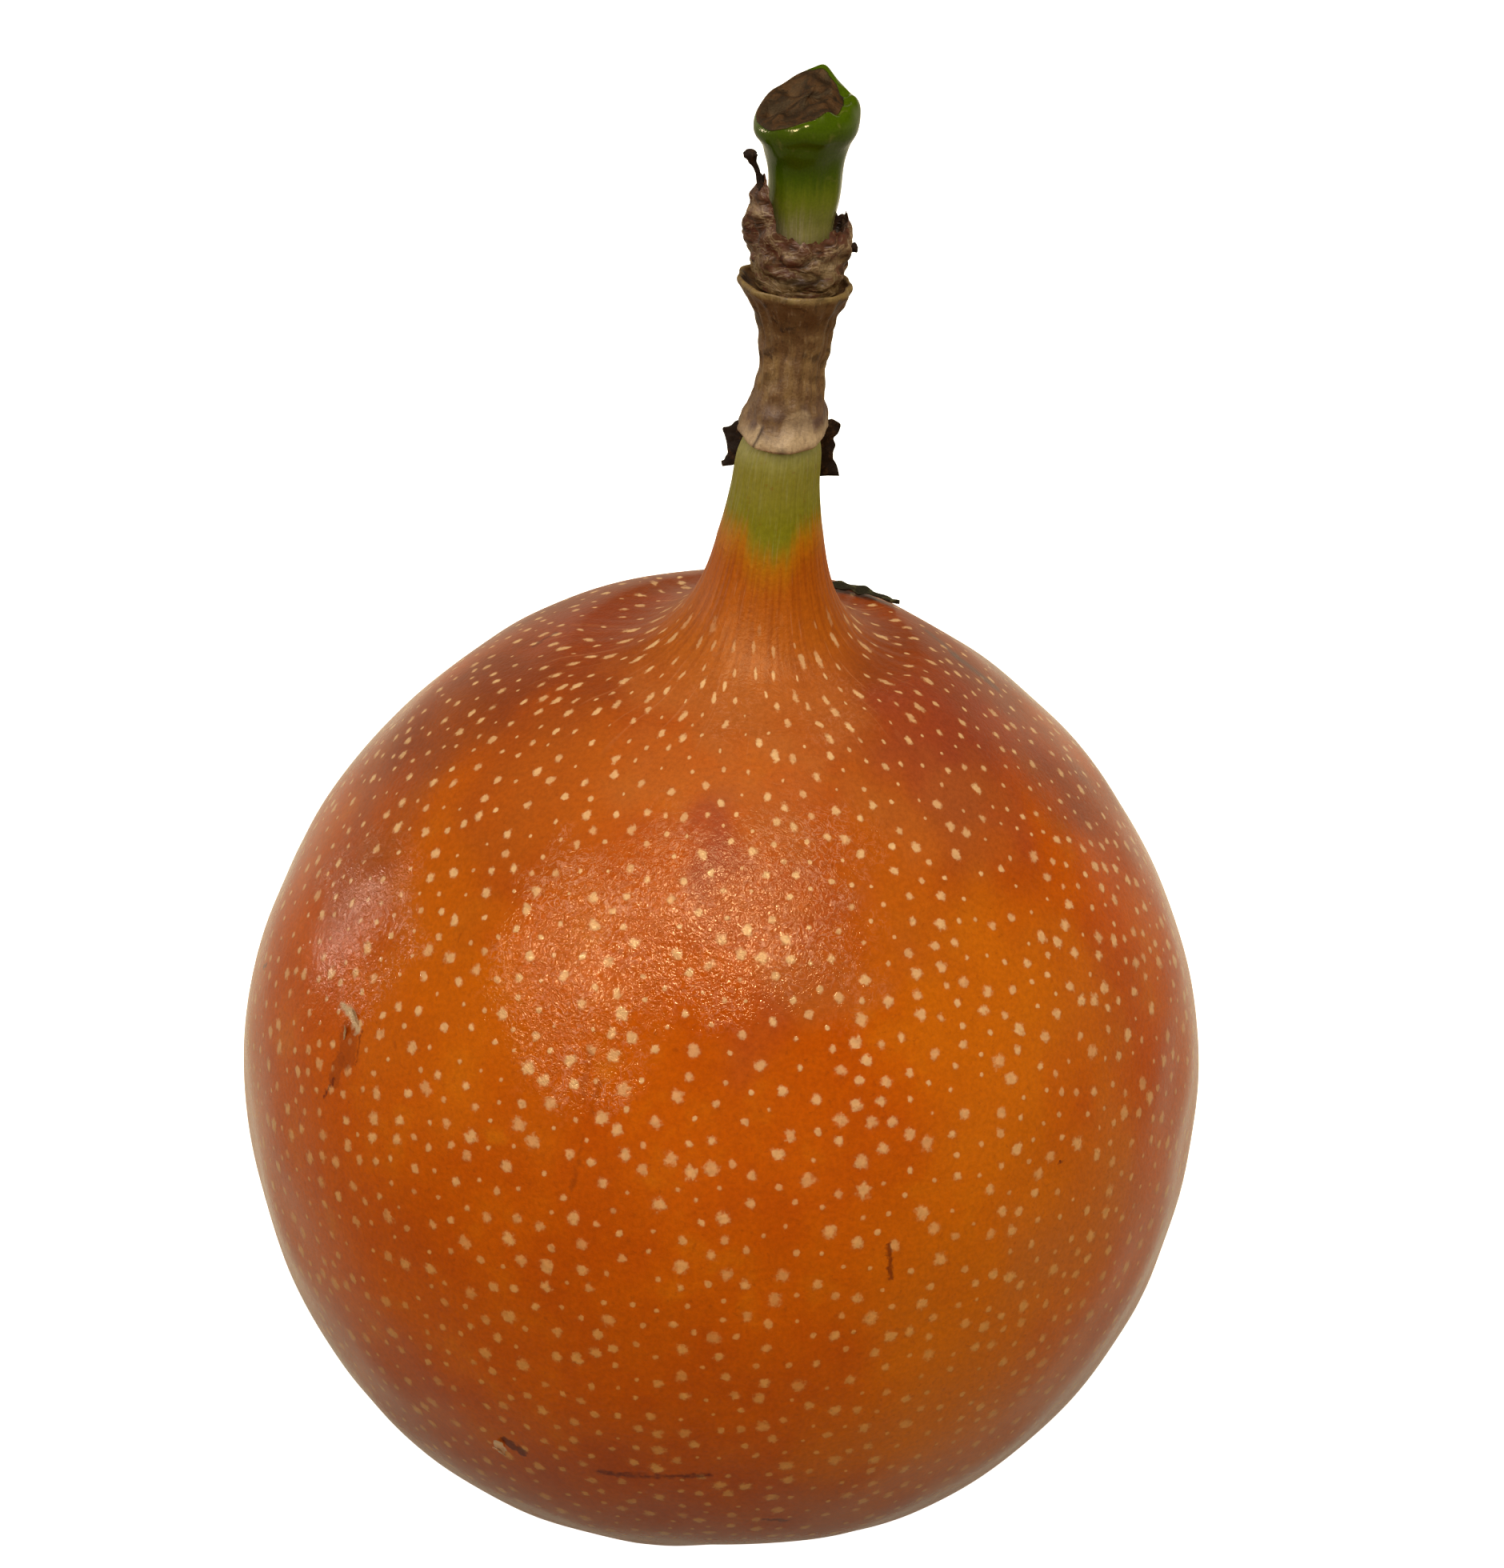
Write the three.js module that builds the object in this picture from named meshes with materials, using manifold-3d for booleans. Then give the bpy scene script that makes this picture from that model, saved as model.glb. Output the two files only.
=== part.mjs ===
// A sweet granadilla, one of the passion fruits, standing on its flat spot with its stalk upright.
// Millimetres, +Z up. The origin is the centre of the small flat spot that the fruit rests on.
// +X is the side that the stalk leans to, and the side that shows most of the stalk's torn sheath is -Y.
import * as THREE from "three";
import { mergeVertices } from "three/addons/utils/BufferGeometryUtils.js";
import Module from "manifold-3d";

// ---- driving dimensions ----
const BELLY_RADIUS = 36;
const BELLY_HEIGHT = 35;
const SPOT_RADIUS = 7;
const UNDER_RADIUS = 22.1; // the underside turns up into the belly here
const UNDER_HEIGHT = 6.2;
const SHOULDER_RADIUS = 12;
const SHOULDER_HEIGHT = 70.4;
const NECK_END_RADIUS = 3.64;
const NECK_END_HEIGHT = 79; // the rind turns green here
const LOBE_DEPTH = 0.6; // how far the three lobes stand out at the shoulder
const LOBE_HEIGHT = 55;
const LOBE_SPREAD = 14;
const NECK_SHIFT = 2.95; // the neck stands off the fruit's axis by this
const SHIFT_INNER = 4; // inside this radius the rind has moved all the way with the neck
const SHIFT_OUTER = 22; // and outside this one not at all
const LEAN_START = 72;
const STALK_LEAN = 0.078; // sideways run for each millimetre of height
const STALK_BOW = 0.45; // the stalk bows this much further out at its waist
const BOW_HEIGHT = 92.5;
const BOW_SPREAD = 6;

const GAP = 0.3; // between pieces that touch
const STALK_RADIUS = 2.88;
const STALK_TOP = 87.5;
const COLLAR_RADIUS = 2.95;
const COLLAR_HEIGHT = 87.1;
const COLLAR_DIP = 0.75; // the collar's lip hangs this much lower at the front
const WAIST_RADIUS = 2.27;
const WAIST_HEIGHT = 91.3;
const RING_RADIUS = 3.53;
const RING_HEIGHT = 97;
const RING_TILT = 0.095;
const RING_CUP = 0.45; // the ring's top is a shallow cup of this depth
const CORE_RADIUS = 1.85;
const CORE_TOP = 98.2;

const SHEATH_RADIUS = 3.3;
const SHEATH_FOOT_RADIUS = 2.72;
const SHEATH_FOOT = RING_HEIGHT - RING_CUP + GAP;
const SHEATH_WALL = 0.62;
const SHEATH_RIM = 100.9;
const TONGUE_RISE = 3.4;
const STEM_RADIUS = 2.15;
const KNUCKLE_RADIUS = 3.33;
const KNUCKLE_HEIGHT = 108;
const CUT_HEIGHT = 108.9; // where the cut face crosses the stem's axis
const CUT_SLOPE_X = 0.25;
const CUT_SLOPE_Y = 0.3;
const TIP_RISE = 0.75; // the torn point at the back of the cut
const TIP_SPREAD = 0.55;
const TIP_X = 0.87;
const TIP_Y = 2;
const BULGE_START = 1.6; // beyond this, on the +X side, the green skin rounds over the cut
const BULGE_FALL = 0.8;

const FRUIT_SEGMENTS = 72;
const STALK_SEGMENTS = 32;
const FULL_TURN = 2 * Math.PI;

// ---- helpers ----
const wasm = await Module();
wasm.setup();

function smoothstep(low, high, value) {
  const t = Math.min(1, Math.max(0, (value - low) / (high - low)));
  return t * t * (3 - 2 * t);
}

// A smooth bump of height 1 at zero distance, gone about two widths away.
function bump(distance, width) {
  return Math.exp(-((distance / width) ** 2));
}

// The shortest signed turn from one angle to another.
function turnBetween(from, to) {
  return Math.atan2(Math.sin(to - from), Math.cos(to - from));
}

// Where the stalk's axis is along +X at a height.
function axisShift(height) {
  const lean = STALK_LEAN * Math.max(0, height - LEAN_START);
  return NECK_SHIFT + lean + STALK_BOW * bump(height - BOW_HEIGHT, BOW_SPREAD);
}

// How far a ring of the rind has moved along +X towards the stalk's axis.
function rindShift(radius, height) {
  const share = 1 - smoothstep(SHIFT_INNER, SHIFT_OUTER, radius);
  return height > BELLY_HEIGHT ? share * axisShift(height) : 0;
}

function curve(start, startHandle, endHandle, end, steps) {
  return new THREE.CubicBezierCurve(start, startHandle, endHandle, end).getPoints(steps);
}

function point(radius, height) {
  return new THREE.Vector2(radius, height);
}

// Turns a profile about +Z and then moves each vertex by warp(position, angle).
function turned(profile, segments, warp) {
  const geometry = new THREE.LatheGeometry(profile, segments);
  geometry.rotateX(Math.PI / 2);
  const positions = geometry.getAttribute("position");
  const vertex = new THREE.Vector3();
  for (let i = 0; i < positions.count; i += 1) {
    vertex.fromBufferAttribute(positions, i);
    warp(vertex, Math.atan2(vertex.y, vertex.x));
    positions.setXYZ(i, vertex.x, vertex.y, vertex.z);
  }
  return closed(geometry);
}

// Leaves only merged positions, so that the surface is one closed mesh.
function closed(geometry) {
  geometry.deleteAttribute("normal");
  geometry.deleteAttribute("uv");
  return mergeVertices(geometry, 1e-4);
}

function solidOf(geometry) {
  const mesh = new wasm.Mesh({
    numProp: 3,
    vertProperties: geometry.getAttribute("position").array,
    triVerts: new Uint32Array(geometry.index.array),
  });
  return new wasm.Manifold(mesh);
}

function geometryOf(solid) {
  const mesh = solid.getMesh();
  const geometry = new THREE.BufferGeometry();
  geometry.setAttribute("position", new THREE.BufferAttribute(mesh.vertProperties, 3));
  geometry.setIndex(new THREE.BufferAttribute(mesh.triVerts, 1));
  return geometry;
}

// A closed tube of round section along a smooth curve through the points.
function tube(points, radius, steps, sides) {
  const section = new THREE.Shape();
  section.absarc(0, 0, radius, 0, FULL_TURN, false);
  const path = new THREE.CatmullRomCurve3(points);
  const settings = { steps, extrudePath: path, curveSegments: sides / 2, bevelEnabled: false };
  return closed(new THREE.ExtrudeGeometry(section, settings));
}

function piece(name, geometry, color, roughness) {
  geometry.computeVertexNormals();
  const material = new THREE.MeshStandardMaterial({ color, roughness, metalness: 0 });
  const mesh = new THREE.Mesh(geometry, material);
  mesh.name = name;
  return mesh;
}

// ---- fruit ----
// From the flat spot's centre, round the belly, over the shoulder and up the neck.
function fruitProfile() {
  const foot = curve(
    point(SPOT_RADIUS, 0),
    point(SPOT_RADIUS + 8, 0),
    point(UNDER_RADIUS - 4.8, UNDER_HEIGHT - 3.6),
    point(UNDER_RADIUS, UNDER_HEIGHT),
    6,
  );
  const belly = curve(
    point(UNDER_RADIUS, UNDER_HEIGHT),
    point(UNDER_RADIUS + 8.4, UNDER_HEIGHT + 6.3),
    point(BELLY_RADIUS, BELLY_HEIGHT - 14.4),
    point(BELLY_RADIUS, BELLY_HEIGHT),
    11,
  );
  const shoulder = curve(
    point(BELLY_RADIUS, BELLY_HEIGHT),
    point(BELLY_RADIUS, BELLY_HEIGHT + 24),
    point(SHOULDER_RADIUS + 3, SHOULDER_HEIGHT - 0.2),
    point(SHOULDER_RADIUS, SHOULDER_HEIGHT),
    18,
  );
  const neck = curve(
    point(SHOULDER_RADIUS, SHOULDER_HEIGHT),
    point(SHOULDER_RADIUS - 4, SHOULDER_HEIGHT + 0.3),
    point(NECK_END_RADIUS + 1, NECK_END_HEIGHT - 6.5),
    point(NECK_END_RADIUS, NECK_END_HEIGHT),
    8,
  );
  const side = [...foot, ...belly.slice(1), ...shoulder.slice(1), ...neck.slice(1)];
  return [point(0, 0), ...side, point(0, NECK_END_HEIGHT)];
}

// Three soft lobes at the shoulder, one of them at the back, and the neck moved to +X.
function fruitWarp(position, angle) {
  const radius = Math.hypot(position.x, position.y);
  const lobe = -LOBE_DEPTH * Math.sin(3 * angle) * bump(position.z - LOBE_HEIGHT, LOBE_SPREAD);
  const stretched = radius + (lobe * radius) / BELLY_RADIUS;
  position.x = stretched * Math.cos(angle) + rindShift(radius, position.z);
  position.y = stretched * Math.sin(angle);
}

// The rind's height above a place on the shoulder.
function rindHeight(x, y) {
  const profile = fruitProfile().filter((p) => p.y > BELLY_HEIGHT && p.x > NECK_END_RADIUS);
  const radius = Math.hypot(x - rindShift(Math.hypot(x, y), SHOULDER_HEIGHT), y);
  const outer = profile.findLast((p) => p.x >= radius);
  const inner = profile.find((p) => p.x < radius);
  return outer.y + ((inner.y - outer.y) * (outer.x - radius)) / (outer.x - inner.x);
}

// ---- stalk ----
function stalkWarp(position) {
  position.x += axisShift(position.z);
}

function neckStalkProfile() {
  const foot = NECK_END_HEIGHT + GAP;
  return [
    point(0, foot),
    point(NECK_END_RADIUS - 0.07, foot),
    point(3.27, foot + 1.5),
    point(3.08, foot + 2.7),
    point(2.95, foot + 3.8),
    point(STALK_RADIUS, foot + 5),
    point(2.8, 85.2),
    point(2.6, 86),
    point(2.1, 86.9),
    point(1.2, 87.4),
    point(0, STALK_TOP),
  ];
}

function dryStalkProfile() {
  return [
    point(0, STALK_TOP + 0.45),
    point(1.4, STALK_TOP + 0.35),
    point(2.3, COLLAR_HEIGHT + 0.7),
    point(2.75, COLLAR_HEIGHT + 0.1),
    point(COLLAR_RADIUS + 0.1, COLLAR_HEIGHT),
    point(COLLAR_RADIUS, COLLAR_HEIGHT + 0.6),
    point(2.55, COLLAR_HEIGHT + 2),
    point(WAIST_RADIUS, WAIST_HEIGHT),
    point(2.4, WAIST_HEIGHT + 1.8),
    point(2.75, RING_HEIGHT - 2.2),
    point(3.2, RING_HEIGHT - 1.2),
    point(3.42, RING_HEIGHT - 0.5),
    point(RING_RADIUS, RING_HEIGHT - 0.15),
    point(RING_RADIUS - 0.05, RING_HEIGHT + 0.2),
    point(RING_RADIUS - 0.25, RING_HEIGHT + 0.15),
    point(SHEATH_FOOT_RADIUS + 0.35, RING_HEIGHT - RING_CUP + 0.15),
    point(SHEATH_FOOT_RADIUS, RING_HEIGHT - RING_CUP),
    point(CORE_RADIUS + 0.1, RING_HEIGHT - RING_CUP),
    point(CORE_RADIUS, RING_HEIGHT),
    point(CORE_RADIUS - 0.05, CORE_TOP - 0.2),
    point(CORE_RADIUS - 0.4, CORE_TOP),
    point(0, CORE_TOP),
  ];
}

// The collar's lip dips at the front, the waist is lumpy and the ring tilts down to +X.
function dryStalkWarp(position, angle) {
  const radius = Math.hypot(position.x, position.y);
  const lip = bump(position.z - COLLAR_HEIGHT, 1.1) * smoothstep(2.5, COLLAR_RADIUS, radius);
  const broadLumps = 0.09 * Math.sin(2 * angle + 1.1 * position.z);
  const fineLumps = 0.05 * Math.sin(5 * angle - 0.8 * position.z);
  const ring = bump(position.z - RING_HEIGHT, 1.6);
  const grown = radius + (broadLumps + fineLumps) * bump(position.z - WAIST_HEIGHT - 1, 2.6);
  const across = grown * Math.cos(angle);
  position.x = across + axisShift(position.z);
  position.y = grown * Math.sin(angle);
  position.z -= COLLAR_DIP * lip * smoothstep(0.2, 1, -Math.sin(angle)) + RING_TILT * across * ring;
}

// ---- sheath ----
const TONGUE_ANGLE = -2.55; // in front, on the -X side
const STUB_ANGLE = -0.12;
const STUB_HEIGHT = 99.4;
const HOOK_FOOT = 102.5;

// The torn rim: a tall tongue, a raised corner at +X, a notch at the front and small teeth all round.
function rimHeight(angle) {
  const tongue = TONGUE_RISE * bump(turnBetween(TONGUE_ANGLE, angle), 0.42);
  const shoulder = 0.7 * bump(turnBetween(Math.PI, angle), 0.5);
  const corner = 0.4 * bump(turnBetween(0.1, angle), 0.45);
  const notch = -0.3 * bump(turnBetween(-1.6, angle), 0.35);
  const teeth = 0.16 * Math.sin(7 * angle + 0.6) + 0.1 * Math.sin(13 * angle);
  return SHEATH_RIM + tongue + shoulder + corner + notch + teeth;
}

function sheathWarp(position, angle) {
  const share = (position.z - SHEATH_FOOT) / (SHEATH_RIM - SHEATH_FOOT);
  const radius = Math.hypot(position.x, position.y);
  const crumple = 0.4 * share * (1 - share) * Math.sin(5 * angle + 2 * share);
  const flare = 0.15 * share * bump(turnBetween(-0.6, angle), 0.9);
  const grown = radius + crumple + flare;
  const across = grown * Math.cos(angle);
  position.z = SHEATH_FOOT + share * (rimHeight(angle) - SHEATH_FOOT) - RING_TILT * across * (1 - share);
  position.x = across + axisShift(position.z);
  position.y = grown * Math.sin(angle);
}

// The curled thread on top of the tongue, with a small knob at its end.
function hookGeometry(root) {
  const path = [
    new THREE.Vector3(root.x, root.y, HOOK_FOOT),
    new THREE.Vector3(root.x - 0.1, root.y, 104.2),
    new THREE.Vector3(root.x - 0.45, root.y - 0.05, 105.1),
    new THREE.Vector3(root.x - 0.75, root.y - 0.1, 105.7),
  ];
  const knob = new THREE.IcosahedronGeometry(0.42, 1);
  knob.translate(root.x - 0.75, root.y - 0.1, 105.95);
  return solidOf(tube(path, 0.3, 8, 8)).add(solidOf(closed(knob)));
}

function sheathGeometry() {
  const wallAt = (share, wall) => {
    const outer = SHEATH_FOOT_RADIUS + (SHEATH_RADIUS - SHEATH_FOOT_RADIUS) * smoothstep(0, 0.4, share);
    return point(outer - wall, SHEATH_FOOT + share * (SHEATH_RIM - SHEATH_FOOT));
  };
  const shares = [0, 0.2, 0.4, 0.7, 1];
  const outside = shares.map((share) => wallAt(share, 0));
  const inside = shares.map((share) => wallAt(share, SHEATH_WALL)).reverse();
  const wall = solidOf(turned([...outside, ...inside, outside[0]], 48, sheathWarp));
  const middle = SHEATH_RADIUS - SHEATH_WALL / 2;
  const hookRoot = new THREE.Vector2(
    axisShift(HOOK_FOOT) + middle * Math.cos(TONGUE_ANGLE),
    middle * Math.sin(TONGUE_ANGLE),
  );
  const stub = new THREE.BoxGeometry(0.9, 0.6, 0.6);
  stub.rotateZ(STUB_ANGLE);
  stub.translate(
    axisShift(STUB_HEIGHT) + (SHEATH_RADIUS + 0.15) * Math.cos(STUB_ANGLE),
    SHEATH_RADIUS * Math.sin(STUB_ANGLE),
    STUB_HEIGHT,
  );
  return geometryOf(wall.add(hookGeometry(hookRoot)).add(solidOf(closed(stub))));
}

// ---- stem ----
function stemProfile() {
  const foot = CORE_TOP + GAP;
  return [
    point(0, foot),
    point(STEM_RADIUS - 0.3, foot),
    point(STEM_RADIUS, foot + 0.4),
    point(STEM_RADIUS, 101.5),
    point(STEM_RADIUS + 0.05, 103.2),
    point(2.33, 105),
    point(2.7, 106.05),
    point(3.12, 107.05),
    point(KNUCKLE_RADIUS, KNUCKLE_HEIGHT),
    point(3.25, 108.9),
    point(2.95, 109.7),
    point(2.35, 110.4),
    point(1.8, 110.8),
    point(1.1, 111),
    point(0, 111.3),
  ];
}

// Presses the top of the knuckle down onto the slanting cut, which is dished, has a point behind and
// rounds over at +X.
function stemWarp(position) {
  const cut = CUT_HEIGHT + CUT_SLOPE_X * position.x + CUT_SLOPE_Y * position.y;
  const radius = Math.hypot(position.x, position.y);
  const dish = 0.35 * smoothstep(2.6, 1.2, radius);
  const tip = TIP_RISE * bump(Math.hypot(position.x - TIP_X, position.y - TIP_Y), TIP_SPREAD);
  const fall = BULGE_FALL * Math.max(0, position.x - BULGE_START) ** 2;
  position.z = Math.min(position.z, cut - dish + tip - fall);
  position.x += axisShift(position.z);
}

// ---- dried remains ----
const FLAP_THICKNESS = 0.6;
const FLAP_CURL = 0.15;
const LEFT_FLAP_ANGLE = 2.62; // behind, on the -X side
const RIGHT_FLAP_ANGLE = 0.5; // behind, on the +X side

// A shrivelled wing that stands out from the collar: its outline is in radius and height.
function flapGeometry(outline, angle) {
  const settings = { depth: FLAP_THICKNESS, bevelEnabled: false };
  const geometry = new THREE.ExtrudeGeometry(new THREE.Shape(outline), settings);
  const positions = geometry.getAttribute("position");
  for (let i = 0; i < positions.count; i += 1) {
    const radius = positions.getX(i);
    const height = positions.getY(i);
    const side = positions.getZ(i) - FLAP_THICKNESS / 2 + FLAP_CURL * (radius - COLLAR_RADIUS) ** 2;
    const x = radius * Math.cos(angle) + side * Math.sin(angle);
    const y = radius * Math.sin(angle) - side * Math.cos(angle);
    positions.setXYZ(i, x + axisShift(height), y, height);
  }
  return closed(geometry);
}

function leftFlap() {
  const outline = [
    point(3.4, 86.9),
    point(3.4, 86.4),
    point(3.25, 86),
    point(3.25, 83.9),
    point(3.4, 83.55),
    point(3.9, 83.35),
    point(4.1, 83.05),
    point(4.5, 83.05),
    point(4.45, 83.45),
    point(3.98, 83.9),
    point(3.9, 84.35),
    point(4.1, 84.93),
    point(4.4, 85.44),
    point(4.66, 85.76),
    point(4, 86.35),
  ];
  return flapGeometry(outline, LEFT_FLAP_ANGLE);
}

function rightFlap() {
  const outline = [
    point(3.4, 86.75),
    point(3.4, 86.2),
    point(3.28, 85.2),
    point(3.28, 84.2),
    point(3.5, 82.65),
    point(4.12, 82.6),
    point(4.75, 82.5),
    point(4.77, 82.8),
    point(4.47, 83.57),
    point(4.24, 84.24),
    point(4.37, 84.77),
    point(4.14, 85.39),
    point(4.48, 85.45),
    point(4.47, 86),
    point(4.32, 86.4),
    point(3.8, 86.75),
  ];
  return flapGeometry(outline, RIGHT_FLAP_ANGLE);
}

// ---- shoulder scrap ----
const SCRAP_LENGTH = 5.8;
const SCRAP_WIDTH = 1.7;
const SCRAP_THICKNESS = 0.6;
const SCRAP_X = 10.3;
const SCRAP_Y = 8.3;
const SCRAP_TURN = -0.35;
const SCRAP_CURL = 0.03;

// A slim leaf-shaped blade that lies on the shoulder, just clear of the rind, with its ends curled up.
function scrapGeometry() {
  const half = SCRAP_LENGTH / 2;
  const outline = new THREE.Shape();
  outline.moveTo(-half, 0);
  outline.bezierCurveTo(-half / 2, -SCRAP_WIDTH / 2, half / 2, -SCRAP_WIDTH / 2, half, 0.1);
  outline.bezierCurveTo(half / 2, SCRAP_WIDTH / 2, -half / 2, SCRAP_WIDTH / 2, -half, 0);
  const settings = { depth: SCRAP_THICKNESS, bevelEnabled: false, curveSegments: 6 };
  const geometry = new THREE.ExtrudeGeometry(outline, settings);
  const positions = geometry.getAttribute("position");
  for (let i = 0; i < positions.count; i += 1) {
    const along = positions.getX(i);
    const across = positions.getY(i);
    const x = SCRAP_X + along * Math.cos(SCRAP_TURN) - across * Math.sin(SCRAP_TURN);
    const y = SCRAP_Y + along * Math.sin(SCRAP_TURN) + across * Math.cos(SCRAP_TURN);
    const base = rindHeight(x, y) + GAP + SCRAP_CURL * along * along;
    positions.setXYZ(i, x, y, base + positions.getZ(i));
  }
  return closed(geometry);
}

// ---- the whole object ----
const granadilla = new THREE.Group();
granadilla.name = "sweet_granadilla";
granadilla.add(
  piece("fruit", turned(fruitProfile(), FRUIT_SEGMENTS, fruitWarp), 0xcd5f0a, 0.45),
  piece("neck_stalk", turned(neckStalkProfile(), STALK_SEGMENTS, stalkWarp), 0x8e8c2e, 0.55),
  piece("dry_stalk", turned(dryStalkProfile(), STALK_SEGMENTS, dryStalkWarp), 0x6b4a2a, 0.8),
  piece("bract_sheath", sheathGeometry(), 0x7a5a38, 0.85),
  piece("stem", turned(stemProfile(), STALK_SEGMENTS, stemWarp), 0x4f6410, 0.4),
  piece("flower_flap_left", leftFlap(), 0x3a2c1e, 0.85),
  piece("flower_flap_right", rightFlap(), 0x3a2c1e, 0.85),
  piece("shoulder_scrap", scrapGeometry(), 0x4a4420, 0.8),
);

export default granadilla;
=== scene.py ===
"""A sweet granadilla, one of the passion fruits, on its flat spot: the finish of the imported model.

Lengths are millimetres in every formula and turn into metres where a mesh, a light or the camera is made.
The surfaces follow the model's own forms on finer grids and add the fine relief to them. Some of them, such
as the stem's knuckle, are shaped by formulas of their own.
"""
import itertools
import math
from collections import namedtuple

import bpy
import numpy as np
from mathutils import Euler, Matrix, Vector
from mathutils.kdtree import KDTree


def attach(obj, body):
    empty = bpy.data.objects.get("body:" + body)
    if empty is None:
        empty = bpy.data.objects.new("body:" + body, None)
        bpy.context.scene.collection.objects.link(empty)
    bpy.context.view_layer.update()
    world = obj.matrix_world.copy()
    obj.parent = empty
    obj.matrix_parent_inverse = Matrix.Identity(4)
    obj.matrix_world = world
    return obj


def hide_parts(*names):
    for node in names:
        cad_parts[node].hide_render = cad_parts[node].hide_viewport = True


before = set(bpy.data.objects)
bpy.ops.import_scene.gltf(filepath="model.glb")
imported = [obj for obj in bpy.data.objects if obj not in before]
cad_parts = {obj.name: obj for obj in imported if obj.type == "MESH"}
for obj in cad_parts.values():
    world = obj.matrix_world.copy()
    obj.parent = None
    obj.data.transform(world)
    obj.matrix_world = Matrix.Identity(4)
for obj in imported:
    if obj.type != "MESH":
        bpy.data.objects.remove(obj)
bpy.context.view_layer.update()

MM = 0.001

# ---- the model's driving dimensions ----
BELLY_RADIUS = 36
BELLY_HEIGHT = 35
SPOT_RADIUS = 7
UNDER_RADIUS = 22.1
UNDER_HEIGHT = 6.2
SHOULDER_RADIUS = 12
SHOULDER_HEIGHT = 70.4
NECK_END_RADIUS = 3.64
NECK_END_HEIGHT = 79
LOBE_DEPTH = 0.6
LOBE_HEIGHT = 55
LOBE_SPREAD = 14
NECK_SHIFT = 2.95
SHIFT_INNER = 4
SHIFT_OUTER = 22
LEAN_START = 72
STALK_LEAN = 0.078
STALK_BOW = 0.45
BOW_HEIGHT = 92.5
BOW_SPREAD = 6

GAP = 0.3
STALK_RADIUS = 2.88
STALK_TOP = 87.5
COLLAR_RADIUS = 2.95
COLLAR_HEIGHT = 87.1
COLLAR_DIP = 0.75
WAIST_RADIUS = 2.27
WAIST_HEIGHT = 91.3
RING_RADIUS = 3.53
RING_HEIGHT = 97
RING_TILT = 0.095
RING_CUP = 0.45
CORE_RADIUS = 1.85
CORE_TOP = 98.2

SHEATH_RADIUS = 3.3
SHEATH_FOOT_RADIUS = 2.72
SHEATH_FOOT = RING_HEIGHT - RING_CUP + GAP
SHEATH_WALL = 0.62
SHEATH_RIM = 100.9
TONGUE_RISE = 3.4
TONGUE_ANGLE = -2.55
HOOK_FOOT = 102.5
STUB_HEIGHT = 99.4
STEM_RADIUS = 2.15
KNUCKLE_RADIUS = 3.33
CUT_SLOPE_X = 0.25
CUT_SLOPE_Y = 0.25
TIP_SPREAD = 0.55
TIP_X = 0.87
TIP_Y = 2

FRONT = -math.pi / 2

# ---- the camera ----
IMAGE_WIDTH = 1880
IMAGE_HEIGHT = 1960
FOCAL_PIXELS = 3243
SENSOR_WIDTH = 36  # of the image's long side
AIM = np.array((0.0, 0.0, 35.0))
AIM_PIXEL = (903, 1320)
CAMERA_DISTANCE = 200
CAMERA_ELEVATION = math.radians(37)


# ---- formulas ----
def smoothstep(low, high, value):
    t = np.clip((value - low) / (high - low), 0, 1)
    return t * t * (3 - 2 * t)


def bump(distance, width):
    return np.exp(-((distance / width) ** 2))


def turn_between(start, end):
    return np.arctan2(np.sin(end - start), np.cos(end - start))


def facing(way, angle, width):
    """How near an angle is to a way: 1 on it, falling to 0 past the width."""
    return bump(turn_between(way, angle), width)


def ripple(points, wavelength, seed, count=20):
    """A smooth random field of zero mean and about unit height, made of seeded plane waves."""
    rng = np.random.default_rng(seed)
    ways = rng.normal(size=(count, points.shape[-1]))
    ways /= np.linalg.norm(ways, axis=1, keepdims=True)
    rates = 2 * math.pi / (wavelength * rng.uniform(0.7, 1.4, size=(count, 1)))
    phases = rng.uniform(0, 2 * math.pi, size=count)
    return np.cos(points @ (ways * rates).T + phases).sum(axis=-1) * math.sqrt(2 / count)


def fibres(angle, height, fewest, most, drift, seed, count=16):
    """Long ridges up the stalk: waves round it whose phase drifts slowly with height."""
    rng = np.random.default_rng(seed)
    total = 0
    for _ in range(count):
        waves = rng.integers(fewest, most)
        phase = rng.uniform(0, 2 * math.pi)
        lean = rng.uniform(-drift, drift)
        total = total + np.cos(waves * angle + phase + lean * height)
    return total * math.sqrt(2 / count)


def neck_lines(angle, height):
    """The ridges that run up the neck and on over the green stalk."""
    return fibres(angle, height, 14, 60, 0.12, 11)


def bezier(start, start_handle, end_handle, end, steps):
    t = np.linspace(0, 1, steps + 1)[:, None]
    a, b, c, d = (np.array(p, dtype=float) for p in (start, start_handle, end_handle, end))
    return a * (1 - t) ** 3 + 3 * b * t * (1 - t) ** 2 + 3 * c * t * t * (1 - t) + d * t ** 3


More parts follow.
